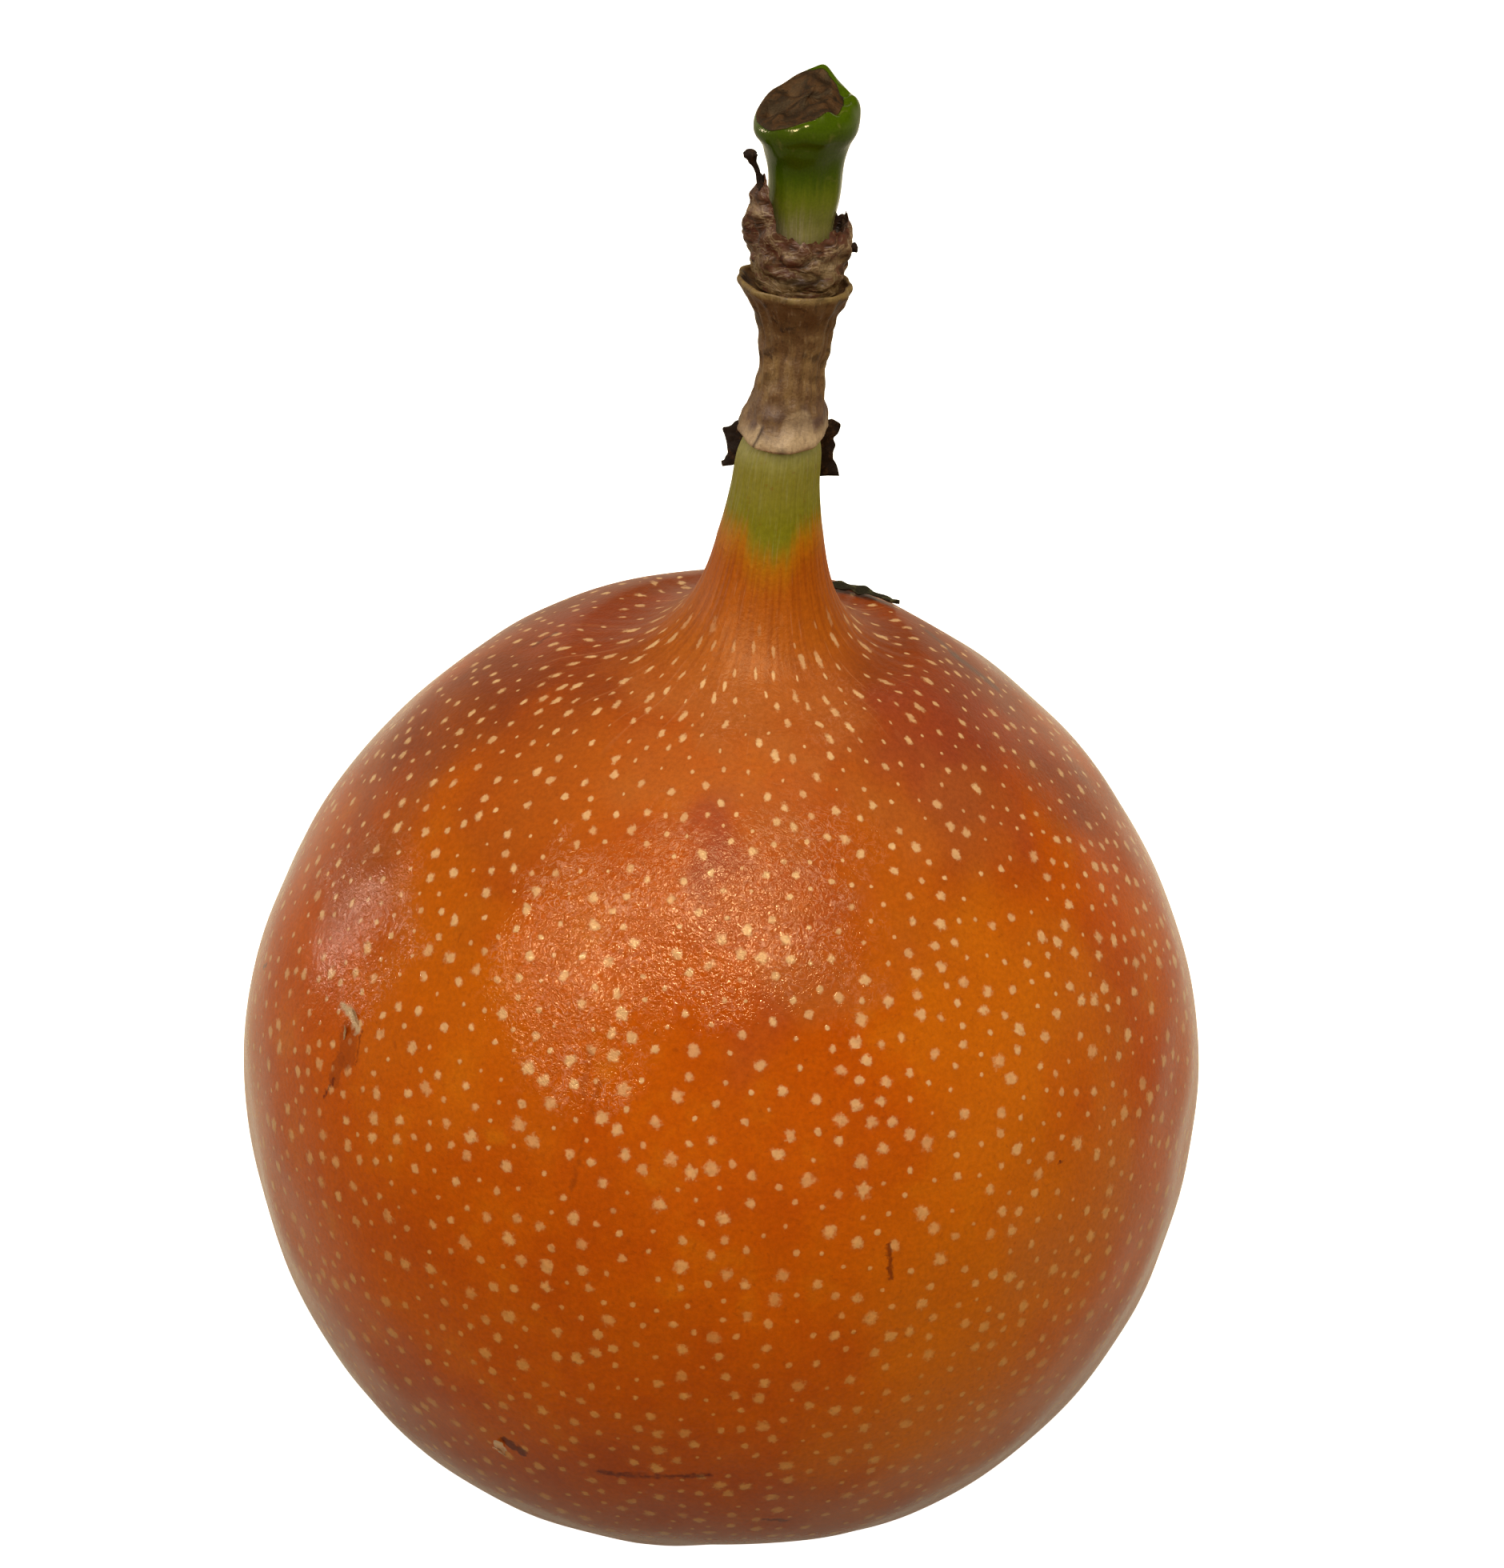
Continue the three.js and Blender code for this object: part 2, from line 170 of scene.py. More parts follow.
def through(points, spacing):
    """A smooth curve through the points, cut into steps of about the spacing."""
    p = np.array(points, dtype=float)
    ends = np.vstack((2 * p[0] - p[1], p, 2 * p[-1] - p[-2]))
    knots = np.concatenate(([0], np.cumsum(np.linalg.norm(np.diff(ends, axis=0), axis=1) ** 0.5)))
    pieces = []
    for i in range(1, len(ends) - 2):
        t = np.linspace(knots[i], knots[i + 1], 24, endpoint=False)[:, None]
        k0, k1, k2, k3 = knots[i - 1:i + 3]
        p0, p1, p2, p3 = ends[i - 1:i + 3]
        a1 = (k1 - t) / (k1 - k0) * p0 + (t - k0) / (k1 - k0) * p1
        a2 = (k2 - t) / (k2 - k1) * p1 + (t - k1) / (k2 - k1) * p2
        a3 = (k3 - t) / (k3 - k2) * p2 + (t - k2) / (k3 - k2) * p3
        b1 = (k2 - t) / (k2 - k0) * a1 + (t - k0) / (k2 - k0) * a2
        b2 = (k3 - t) / (k3 - k1) * a2 + (t - k1) / (k3 - k1) * a3
        pieces.append((k2 - t) / (k2 - k1) * b1 + (t - k1) / (k2 - k1) * b2)
    fine = np.vstack(pieces + [p[-1:]])
    way = np.concatenate(([0], np.cumsum(np.linalg.norm(np.diff(fine, axis=0), axis=1))))
    even = np.linspace(0, way[-1], max(2, round(way[-1] / spacing)) + 1)
    return np.stack([np.interp(even, way, fine[:, i]) for i in range(fine.shape[1])], axis=1)


def axis_shift(height):
    lean = STALK_LEAN * np.maximum(0, height - LEAN_START)
    return NECK_SHIFT + lean + STALK_BOW * bump(height - BOW_HEIGHT, BOW_SPREAD)


def rind_shift(radius, height):
    share = 1 - smoothstep(SHIFT_INNER, SHIFT_OUTER, radius)
    return np.where(height > BELLY_HEIGHT, share * axis_shift(height), 0)


# ---- meshes ----
SHARP_ANGLE = math.radians(55)


def turned(profile, columns):
    """The radius, height and angle of each point of a profile turned about +Z."""
    angle = np.linspace(-math.pi, math.pi, columns, endpoint=False)[None, :]
    radius = profile[:, :1] + 0 * angle
    height = profile[:, 1:] + 0 * angle
    return radius, height, angle + 0 * radius


def around(radius, angle, height, shift=0):
    """The points of a grid about an axis that stands at the shift along +X."""
    return np.stack((radius * np.cos(angle) + shift, radius * np.sin(angle), height), axis=2)


def grid_normals(grid):
    """The way out of each point of a turned grid."""
    along = np.gradient(grid, axis=0)
    across = np.roll(grid, -1, axis=1) - np.roll(grid, 1, axis=1)
    normal = np.cross(across, along)
    length = np.linalg.norm(normal, axis=2, keepdims=True)
    return normal / np.maximum(length, 1e-9)


def new_piece(name, vertices, faces, material, fields=None):
    """A smooth mesh object from points in millimetres, with its named values at the vertices."""
    mesh = bpy.data.meshes.new(name)
    mesh.from_pydata((np.asarray(vertices) * MM).tolist(), [], faces)
    mesh.polygons.foreach_set("use_smooth", [True] * len(mesh.polygons))
    for field, values in (fields or {}).items():
        layer = mesh.attributes.new(field, "FLOAT", "POINT")
        layer.data.foreach_set("value", np.asarray(values, dtype=np.float32).ravel())
    mesh.validate()
    mesh.update()
    mesh.set_sharp_from_angle(angle=SHARP_ANGLE)
    mesh.materials.append(material)
    return linked(name, mesh)


def linked(name, data):
    """A new object in the scene that shows a mesh, a light or a camera."""
    made = bpy.data.objects.new(name, data)
    bpy.context.scene.collection.objects.link(made)
    return made


def quads(rows, columns, close_rows=False):
    """The faces between the rows of a grid whose columns run round and close."""
    last = rows if close_rows else rows - 1
    i, j = np.meshgrid(np.arange(last), np.arange(columns), indexing="ij")
    up = (i + 1) % rows
    right = (j + 1) % columns
    corners = (i * columns + j, i * columns + right, up * columns + right, up * columns + j)
    return np.stack(corners, axis=2).reshape(-1, 4).tolist()


def closed_skin(name, grid, material, fields=None):
    """A closed surface from rows of loops, whose first and last rows each shrink to one point."""
    rows, columns = grid.shape[:2]
    body = grid[1:-1].reshape(-1, 3)
    vertices = np.vstack((body, grid[0, :1], grid[-1, :1]))
    bottom = len(body)
    faces = quads(rows - 2, columns)
    top_row = (rows - 3) * columns
    for j in range(columns):
        k = (j + 1) % columns
        faces.append((bottom, k, j))
        faces.append((top_row + j, top_row + k, bottom + 1))
    kept = {}
    for field, values in (fields or {}).items():
        kept[field] = np.concatenate((values[1:-1].ravel(), values[0, :1], values[-1, :1]))
    return new_piece(name, vertices, faces, material, kept)


def capped_skin(name, loops, material):
    """A closed surface from rows of loops, whose first and last loops close on their middles."""
    first, last = (np.broadcast_to(loop.mean(axis=0), (1, *loop.shape)) for loop in (loops[0], loops[-1]))
    return closed_skin(name, np.concatenate((first, loops, last)), material)


def finish_piece(piece, slot, *nodes):
    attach(piece, "root")
    if nodes:
        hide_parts(*nodes)
    return piece


# ---- the camera and the photograph's pixels ----
def camera_turn():
    """The camera's pitch and yaw, which bring the aim to its pixel."""
    across = (AIM_PIXEL[0] - IMAGE_WIDTH / 2) / FOCAL_PIXELS
    down = (AIM_PIXEL[1] - IMAGE_HEIGHT / 2) / FOCAL_PIXELS
    pitch = CAMERA_ELEVATION - math.atan(down)
    yaw = math.atan2(across, math.cos(pitch) - down * math.sin(pitch))
    return Euler((math.pi / 2 - pitch, 0, yaw))


CAMERA_TURN = camera_turn()
CAMERA_WAY = np.array((0, -math.cos(CAMERA_ELEVATION), math.sin(CAMERA_ELEVATION)))
CAMERA_PLACE = AIM + CAMERA_DISTANCE * CAMERA_WAY


def place_camera():
    camera = bpy.data.cameras.new("camera")
    camera.sensor_fit = "AUTO"
    camera.sensor_width = SENSOR_WIDTH
    camera.lens = FOCAL_PIXELS / IMAGE_HEIGHT * SENSOR_WIDTH
    camera.clip_start = 0.005
    holder = linked("camera", camera)
    holder.location = Vector(CAMERA_PLACE * MM)
    holder.rotation_euler = CAMERA_TURN
    bpy.context.scene.camera = holder


def to_pixels(points):
    """Where points in millimetres show in the image."""
    turn = np.array(CAMERA_TURN.to_matrix())
    seen = (points - CAMERA_PLACE) @ turn
    depth = -seen[..., 2]
    x = IMAGE_WIDTH / 2 + FOCAL_PIXELS * seen[..., 0] / depth
    y = IMAGE_HEIGHT / 2 - FOCAL_PIXELS * seen[..., 1] / depth
    return x, y


# ---- node graphs ----
WHITE = (1.0, 1.0, 1.0, 1.0)


def srgb(red, green, blue):
    """A colour given as screen values from 0 to 255, as a linear colour."""
    channels = []
    for value in (red, green, blue):
        share = value / 255
        channels.append(share / 12.92 if share <= 0.04045 else ((share + 0.055) / 1.055) ** 2.4)
    return (*channels, 1.0)


class Value:
    """What a node puts out. Between numbers, + - * and / stand for further nodes."""

    def __init__(self, graph, socket):
        self.graph = graph
        self.socket = socket

    def __add__(self, other):
        return self.graph.math("ADD", self, other)

    def __sub__(self, other):
        return self.graph.math("SUBTRACT", self, other)

    def __mul__(self, other):
        return self.graph.math("MULTIPLY", self, other)

    def __truediv__(self, other):
        return self.graph.math("DIVIDE", self, other)


class Graph:
    """A node tree, with a short call for each kind of node that this script uses."""

    def __init__(self, owner):
        self.owner = owner
        owner.use_nodes = True
        self.nodes = owner.node_tree.nodes

    def put(self, socket, value):
        if isinstance(value, Value):
            self.owner.node_tree.links.new(value.socket, socket)
        else:
            socket.default_value = value

    def node(self, kind, output, inputs=None, **settings):
        """Adds a node, whose inputs go by name or by number."""
        node = self.nodes.new(kind)
        for setting, value in settings.items():
            setattr(node, setting, value)
        for key, value in (inputs or {}).items():
            self.put(node.inputs[key], value)
        return Value(self, node.outputs[output])

    def math(self, operation, *values):
        return self.node("ShaderNodeMath", 0, dict(enumerate(values)), operation=operation)

    def vector(self, operation, *values, output="Vector"):
        return self.node("ShaderNodeVectorMath", output, dict(enumerate(values)), operation=operation)

    def scaled(self, vector, scale):
        return self.node("ShaderNodeVectorMath", "Vector", {0: vector, "Scale": scale}, operation="SCALE")

    def dot(self, first, second):
        return self.vector("DOT_PRODUCT", first, second, output="Value")

    def length(self, vector):
        return self.vector("LENGTH", vector, output="Value")

    def split(self, vector):
        """The three numbers of a vector."""
        first = self.node("ShaderNodeSeparateXYZ", 0, {0: vector})
        return [Value(self, output) for output in first.socket.node.outputs]

    def join(self, x, y, z):
        return self.node("ShaderNodeCombineXYZ", 0, {0: x, 1: y, 2: z})

    def smooth(self, value, low, high, start=0.0, end=1.0, kind="SMOOTHSTEP"):
        """A step from start at low to end at high, which may be the lower of the two."""
        ends = {"Value": value, "From Min": low, "From Max": high, "To Min": start, "To Max": end}
        return self.node("ShaderNodeMapRange", "Result", ends, interpolation_type=kind)

    def blend(self, share, under, over):
        return self.node("ShaderNodeMix", 0, {0: share, 2: under, 3: over})

    def mix(self, share, under, over, kind="MIX"):
        ends = {0: share, 6: under, 7: over}
        return self.node("ShaderNodeMix", 2, ends, data_type="RGBA", blend_type=kind)

    def ray(self, kind):
        """Whether the ray is of a kind: for the studio, never for the fruit."""
        return self.node("ShaderNodeLightPath", kind)


class Finish(Graph):
    """The node tree of one of the fruit's materials."""

    def __init__(self, name):
        super().__init__(bpy.data.materials.new(name))
        self.nodes.clear()
        self.place = self.scaled(self.node("ShaderNodeTexCoord", "Object"), 1 / MM)
        self.normal = self.node("ShaderNodeTexCoord", "Normal")
        self.x, self.y, self.z = self.split(self.place)

    def coats(self, colour, *coats):
        """Lays coats over a colour, each a share and a colour."""
        for share, coat in coats:
            colour = self.mix(share, colour, coat)
        return colour

    def shaded(self, colour, value, low, high):
        """The colour made darker and lighter by a value about 0.5."""
        shade = self.smooth(value, 0.2, 0.8, low, high)
        return self.mix(1.0, colour, self.join(shade, shade, shade), "MULTIPLY")

    def noise(self, place, scale, detail=2.0, roughness=0.5, distortion=0.0, output="Fac"):
        inputs = {"Vector": place, "Scale": scale, "Detail": detail, "Roughness": roughness}
        return self.node("ShaderNodeTexNoise", output, {**inputs, "Distortion": distortion})

    def field(self, name, output="Fac"):
        return self.node("ShaderNodeAttribute", output, attribute_name=name)

    def line_distance(self, place, start, end):
        """The distance in millimetres from the line between two fixed points."""
        way = tuple(b - a for a, b in zip(start, end))
        square = sum(c * c for c in way) or 1.0
        from_start = self.vector("SUBTRACT", place, start)
        share = self.node("ShaderNodeClamp", 0, {"Value": self.dot(from_start, way) / square})
        return self.length(self.vector("SUBTRACT", from_start, self.scaled(way, share)))

    def meridian(self):
        """The unit way uphill along the surface."""
        rise = self.split(self.normal)[2]
        return self.vector("NORMALIZE", self.vector("SUBTRACT", (0, 0, 1), self.scaled(self.normal, rise)))

    def outward(self):
        """The unit way out from the stalk's leaning axis, level with the point."""
        lean = self.math("MAXIMUM", self.z - LEAN_START, 0.0) * STALK_LEAN
        from_bow = (self.z - BOW_HEIGHT) * (1 / BOW_SPREAD)
        bow = self.math("EXPONENT", from_bow * from_bow * -1.0) * STALK_BOW
        x = self.x - (lean + bow + NECK_SHIFT)
        return self.vector("NORMALIZE", self.join(x, self.y, 0.0))

    def streaks(self, outward, density, rise, detail=2.0):
        """Noise drawn out along the stalk."""
        place = self.vector("ADD", self.scaled(outward, density), self.join(0.0, 0.0, self.z * rise))
        return self.noise(place, 1.0, detail)

    def surface(self, colour, roughness, height, relief, **fixed):
        """Ends the graph: a Principled shader with its relief, in millimetres, and its fixed numbers."""
        normal = self.node("ShaderNodeBump", 0, {"Distance": relief * MM, "Height": height})
        inputs = {"Base Color": colour, "Roughness": roughness, "Normal": normal}
        inputs.update((name.replace("_", " "), value) for name, value in fixed.items())
        shader = self.node("ShaderNodeBsdfPrincipled", 0, inputs)
        self.put(self.nodes.new("ShaderNodeOutputMaterial").inputs["Surface"], shader)
        return self.owner


# ---- the rind ----
RIND_COLUMNS = 384
SPOT_STEPS = 9
NECK_FAN_LEFT = 2.6  # where the neck's foot is wrinkled most
NECK_FAN_RIGHT = 0.45
FULL_HEIGHT = 10.5  # the foot is a little fuller here, except at the front
TUCK_HEIGHT = 24  # and drawn in here


def rind_profile():
    spot = np.stack((np.linspace(0, SPOT_RADIUS, SPOT_STEPS), np.zeros(SPOT_STEPS)), axis=1)
    edge = (SPOT_RADIUS, 0)
    under = (UNDER_RADIUS, UNDER_HEIGHT)
    belly = (BELLY_RADIUS, BELLY_HEIGHT)
    shoulder = (SHOULDER_RADIUS, SHOULDER_HEIGHT)
    end = (NECK_END_RADIUS, NECK_END_HEIGHT)

    def beside(point, across, up):
        return (point[0] + across, point[1] + up)

    curves = (
        bezier(edge, beside(edge, 8, 0), beside(under, -4.8, -3.6), under, 28),
        bezier(under, beside(under, 8.4, 6.3), beside(belly, 0, -14.4), belly, 50),
        bezier(belly, beside(belly, 0, 24), beside(shoulder, 3, -0.2), shoulder, 84),
        bezier(shoulder, beside(shoulder, -4, 0.3), beside(end, 1, -6.5), end, 64),
    )
    cap = np.array((beside(end, -0.5, -0.3), (0, NECK_END_HEIGHT - 0.3)))
    return np.vstack((spot, *(curve[1:] for curve in curves), cap))


def rind_relief(grid, radius, height, angle):
    """How far the skin stands out from the model's smooth form, mostly a little under it."""
    broad = -0.14 + 0.07 * ripple(grid, 17, 5) + 0.04 * ripple(grid, 7, 6)
    broad = np.minimum(broad, 0) * smoothstep(0.5, 6, height) * smoothstep(0, 4, radius - NECK_END_RADIUS)
    fan = facing(NECK_FAN_LEFT, angle, 0.7) + facing(NECK_FAN_RIGHT, angle, 0.6)
    zone = smoothstep(16, 9, radius) * smoothstep(BELLY_HEIGHT, 60, height)
    on_fan = smoothstep(4.2, 6, radius)
    ridged = zone * (0.006 + 0.005 * fan * on_fan + 0.006 * (1 - on_fan))
    closing = smoothstep(NECK_END_HEIGHT, NECK_END_HEIGHT - 1, height)
    at_front = facing(FRONT, angle, 0.38)
    fuller = 0.3 * bump(height - FULL_HEIGHT, 4) * (1 - 2.2 * at_front)
    tucked = fuller - 0.25 * bump(height - TUCK_HEIGHT, 6)
    return broad + tucked + ridged * neck_lines(angle, height) * closing


def rind_grid():
    radius, height, angle = turned(rind_profile(), RIND_COLUMNS)
    lobe = -LOBE_DEPTH * np.sin(3 * angle) * bump(height - LOBE_HEIGHT, LOBE_SPREAD)
    stretched = radius + lobe * radius / BELLY_RADIUS
    grid = around(stretched, angle, height, rind_shift(radius, height))
    normals = grid_normals(grid)
    grid = grid + normals * rind_relief(grid, radius, height, angle)[..., None]
    return grid, normals


RIND_GRID, RIND_NORMALS = rind_grid()


def on_rind(pixel):
    """The point of the rind, and the way out of it, that shows at a pixel of the photograph."""
    x, y = to_pixels(RIND_GRID)
    seen = np.einsum("ijk,ijk->ij", RIND_NORMALS, CAMERA_PLACE - RIND_GRID) > 0
    off = np.where(seen, (x - pixel[0]) ** 2 + (y - pixel[1]) ** 2, np.inf)
    nearest = np.unravel_index(np.argmin(off), off.shape)
    return RIND_GRID[nearest], RIND_NORMALS[nearest]


# Loose flakes of skin: where each is rooted, as a pixel of the photograph, its size and its turn from uphill.
Flake = namedtuple("Flake", "name pixel length width turn")
FLAKES = (
    Flake("wound_flake", (428, 1303), 1.25, 0.5, 0.25),
    Flake("wound_fringe", (447, 1283), 1.3, 0.45, -0.5),
    Flake("nick_flake", (625, 1819), 1.5, 0.7, -0.1),
)


def make_flake(flake, material):
    """A flake that is rooted in the rind at one end and curled up at the other."""
    point, normal = on_rind(flake.pixel)
    east = np.cross((0.0, 0.0, 1.0), normal)
    east /= np.linalg.norm(east)
    north = np.cross(normal, east)
    way = math.cos(flake.turn) * north + math.sin(flake.turn) * east
    side = np.cross(way, normal)
    along = np.linspace(0, 1, 22)[:, None]
    turn = np.linspace(0, 2 * math.pi, 16, endpoint=False)[None, :]
    rounded = np.sqrt(np.clip(1 - (2 * along - 1) ** 2, 0, 1))
    half = 0.5 * flake.width * rounded * (1 + 0.25 * np.sin(9 * along))
    across = half * np.cos(turn)
    thick = 0.035 * np.sin(turn) * np.sin(math.pi * along)
    lift = 0.34 * flake.length * along ** 2 - 0.06 + 0.25 * across + thick
    length = flake.length * along + 0 * across
    grid = point + length[..., None] * way + across[..., None] * side + lift[..., None] * normal
    return finish_piece(closed_skin(flake.name, grid, material), "rind")


def make_rind(material):
    fields = {name: patch_field(PATCHES[name], seed) for name, seed in PATCH_SEEDS.items()}
    fields["shoulder"] = shoulder_tone_and_shade()
    piece = closed_skin("rind", RIND_GRID, material, fields)
    add_specks(piece.data)
    return finish_piece(piece, "rind", "fruit")


# ---- the rind's colours ----
ORANGE = srgb(209, 90, 2)
DEEP_ORANGE = srgb(199, 80, 2)
AMBER = srgb(216, 109, 8)
# pale peach: the colour of the specks' fringe, and a painted sheen on the rind's patches
SALMON_AND_SHEEN = srgb(190, 99, 36)
# red blush, and on the shoulders also painted shade
BLUSH_AND_SHADE = srgb(164, 66, 36)
# partly the rind's own brown, partly painted shade on the shoulders
SHOULDER_BROWN_AND_SHADE = srgb(136, 60, 26)
# painted shade: the rind's colour darkened towards the bottom, where less light falls
LOW_PAINTED_SHADE = srgb(158, 55, 0)
# painted highlight: the pale threads in the patches where the glints fall
GLINT_PALE = srgb(246, 180, 136)
NECK_BROWN = srgb(150, 62, 10)
NECK_PALE = srgb(206, 124, 70)
NECK_AMBER = srgb(194, 96, 12)
WAX_TINT = (1.0, 0.75, 0.4, 1.0)
SPECK = srgb(252, 198, 130)
LOW_SPECK = srgb(242, 172, 84)
FLESH = srgb(160, 66, 8)
CREASE = srgb(96, 26, 8)
TORN = srgb(214, 176, 128)
SCUFF = srgb(110, 76, 60)
STALK_YELLOW = srgb(206, 126, 8)
STALK_GREEN = srgb(140, 130, 20)
STALK_OLIVE = srgb(154, 140, 46)
STALK_PALE = srgb(182, 170, 98)

# Marks on the rind: the two ends of each as pixels of the photograph, its solid and its faded half-width
# in millimetres, how strong it is and, for the fine ones, its colour.
Patch = namedtuple("Patch", "start end solid faded strength")
Mark = namedtuple("Mark", "start end solid faded colour strength")
PATCH_SEEDS = {"salmon_sheen": 101, "blush_and_shade": 111, "amber": 121, "scuffed_glint": 141}
PATCHES = {
    # pale peach patches: painted sheen and highlight haze, partly the rind's own tone
    "salmon_sheen": (
        Patch((880, 840), (950, 900), 1.0, 9.0, 1.0),
        Patch((840, 960), (960, 1000), 1.0, 7.0, 0.6),
        Patch((1130, 1000), (1220, 1040), 1.0, 5.0, 0.4),
        Patch((960, 1215), (1040, 1190), 1.0, 5.0, 0.5),
        Patch((1290, 1560), (1400, 1500), 1.0, 6.0, 0.35),
    ),
    "blush_and_shade": (
        Patch((868, 1060), (935, 1040), 0.6, 4.6, 0.8),
        Patch((870, 1120), (980, 1120), 1.0, 5.0, 0.4),
        # these two: painted shade on the right shoulder, over its blush
        Patch((1140, 890), (1220, 900), 1.0, 8.0, 0.65),
        Patch((1180, 960), (1230, 1000), 1.0, 5.0, 0.45),
        # painted shade on the left shoulder, over its blush
        Patch((700, 785), (790, 780), 1.0, 7.0, 0.4),
        Patch((950, 1250), (1000, 1210), 1.0, 6.0, 0.35),
    ),
    "amber": (
        Patch((560, 1010), (720, 1000), 1.0, 11.0, 0.35),
        Patch((540, 1120), (560, 1350), 2.0, 8.0, 0.5),
        Patch((1250, 1250), (1290, 1400), 3.0, 11.0, 0.8),
        Patch((1090, 1040), (1110, 1180), 1.0, 6.0, 0.4),
        Patch((1290, 1540), (1180, 1780), 1.0, 16.0, 0.9),
    ),
    # where glints and sheen fall: pale threads are painted there as highlights, and the relief is rougher
    "scuffed_glint": (
        Patch((880, 1110), (1000, 1120), 3.5, 8.0, 1.0),
        Patch((950, 1215), (1030, 1200), 1.0, 5.0, 0.6),
        Patch((720, 1180), (715, 1280), 4.0, 7.0, 1.0),
        Patch((445, 1110), (440, 1210), 3.0, 5.5, 0.8),
        Patch((900, 850), (1000, 880), 1.0, 8.0, 0.35),
    ),
}
FINE_MARKS = (
    Mark((441, 1292), (434, 1322), 0.8, 1.0, FLESH, 0.6),
    Mark((430, 1325), (421, 1350), 0.45, 0.65, FLESH, 0.65),
    Mark((452, 1288), (444, 1330), 0.02, 0.2, CREASE, 0.6),
    Mark((420, 1350), (407, 1369), 0.03, 0.22, CREASE, 0.8),
    Mark((431, 1253), (438, 1264), 0.15, 0.5, TORN, 0.9),
    Mark((441, 1266), (449, 1284), 0.1, 0.5, TORN, 0.9),
    Mark((622, 1803), (626, 1814), 0.3, 0.45, TORN, 1.0),
    Mark((632, 1803), (648, 1814), 0.3, 0.55, CREASE, 0.9),
    Mark((745, 1841), (885, 1846), 0.04, 0.45, CREASE, 0.85),
    Mark((752, 1358), (716, 1480), 0.03, 0.34, FLESH, 0.6),
    Mark((736, 1310), (730, 1380), 0.03, 0.4, FLESH, 0.4),
    Mark((1113, 1562), (1114, 1592), 0.08, 0.3, CREASE, 0.7),
    Mark((1328, 1446), (1329, 1452), 0.1, 0.25, CREASE, 0.9),
    Mark((331, 1206), (331, 1210), 0.08, 0.25, CREASE, 0.9),
    Mark((960, 1900), (988, 1902), 0.05, 0.3, CREASE, 0.8),
    Mark((668, 806), (694, 792), 0.05, 0.3, CREASE, 0.6),
    Mark((1160, 790), (1195, 818), 0.05, 0.8, SCUFF, 0.6),
    Mark((1195, 822), (1245, 858), 0.2, 0.9, SCUFF, 0.7),
    Mark((612, 1418), (620, 1419), 0.1, 0.9, AMBER, 0.8),
    Mark((955, 712), (957, 706), 0.02, 0.16, CREASE, 0.9),
    Mark((964, 707), (974, 706), 0.02, 0.12, CREASE, 0.8),
    Mark((934, 673), (937, 672), 0.02, 0.12, CREASE, 0.8),
    Mark((720, 742), (860, 716), 0.1, 1.2, NECK_PALE, 0.3),
)

SPECK_SEED = 7
SPECK_TRIES = 30000
SPECK_FADE = (75.5, 72)  # the specks end on the neck, between these heights
# Each pair gives heights, and the value at those heights of the least gap between two specks, of their
# size, of their strength or of their stretch.
SPECK_GAPS = ((0, 45, 70), (1.2, 1.3, 1.15))
SPECK_SIZES = ((0, 20, 40, 50, 62, 72), (0.28, 0.34, 0.35, 0.34, 0.28, 0.17))
SPECK_STRENGTHS = ((0, 15, 35, 60, 72), (0.55, 0.58, 0.72, 0.95, 1.0))
SPECK_STRETCH = ((64, 68.5, 70, 71.5), (1.05, 1.3, 1.9, 3.0))


def speck_places():
    """Seeded places for the specks, spread evenly over the rind."""
    draw = np.random.default_rng(SPECK_SEED)
    up = RIND_GRID[1:] - RIND_GRID[:-1]
    across = np.roll(RIND_GRID, -1, axis=1)[:-1] - RIND_GRID[:-1]
    area = np.linalg.norm(np.cross(up, across), axis=2).ravel()
    picked = draw.choice(area.size, SPECK_TRIES, p=area / area.sum())
    shares = draw.random((2, SPECK_TRIES, 1))
    points = RIND_GRID[:-1].reshape(-1, 3)[picked] + shares[0] * up.reshape(-1, 3)[picked]
    points = points + shares[1] * across.reshape(-1, 3)[picked]
    gaps = np.interp(points[:, 2], *SPECK_GAPS)
    box = max(SPECK_GAPS[1])
    filled = {}
    steps = list(itertools.product((-1, 0, 1), repeat=3))
    kept = []
    for point, gap in zip(points.tolist(), gaps.tolist()):
        key = tuple(int(c // box) for c in point)
        near = (other for step in steps for other in filled.get(tuple(map(sum, zip(key, step))), ()))
        if all(math.dist(point, other) >= gap for other in near):
            filled.setdefault(key, []).append(point)
            kept.append(point)
    return kept


def add_specks(mesh):
    """Gives each face the place of its nearest speck, and that speck's size, stretch and strength."""
    places = speck_places()
    tree = KDTree(len(places))
    for index, place in enumerate(places):
        tree.insert(place, index)
    tree.balance()
    centres = np.empty(len(mesh.polygons) * 3, dtype=np.float32)
    mesh.polygons.foreach_get("center", centres)
    nearest = [tree.find(centre)[1] for centre in (centres.reshape(-1, 3) / MM).tolist()]
    places = np.array(places)
    draw = np.random.default_rng(SPECK_SEED + 1).random((2, len(places)))
    height = places[:, 2]
    size = np.interp(height, *SPECK_SIZES) * (0.42 + 1.0 * draw[0] ** 1.3)
    strength = np.interp(height, *SPECK_STRENGTHS) * (0.65 + 0.35 * draw[1]) * smoothstep(*SPECK_FADE, height)
    shape = np.column_stack((size, np.interp(height, *SPECK_STRETCH), strength))
    for name, values in (("speck_place", places), ("speck_shape", shape)):
        layer = mesh.attributes.new(name, "FLOAT_VECTOR", "FACE")
        layer.data.foreach_set("vector", values[nearest].astype(np.float32).ravel())


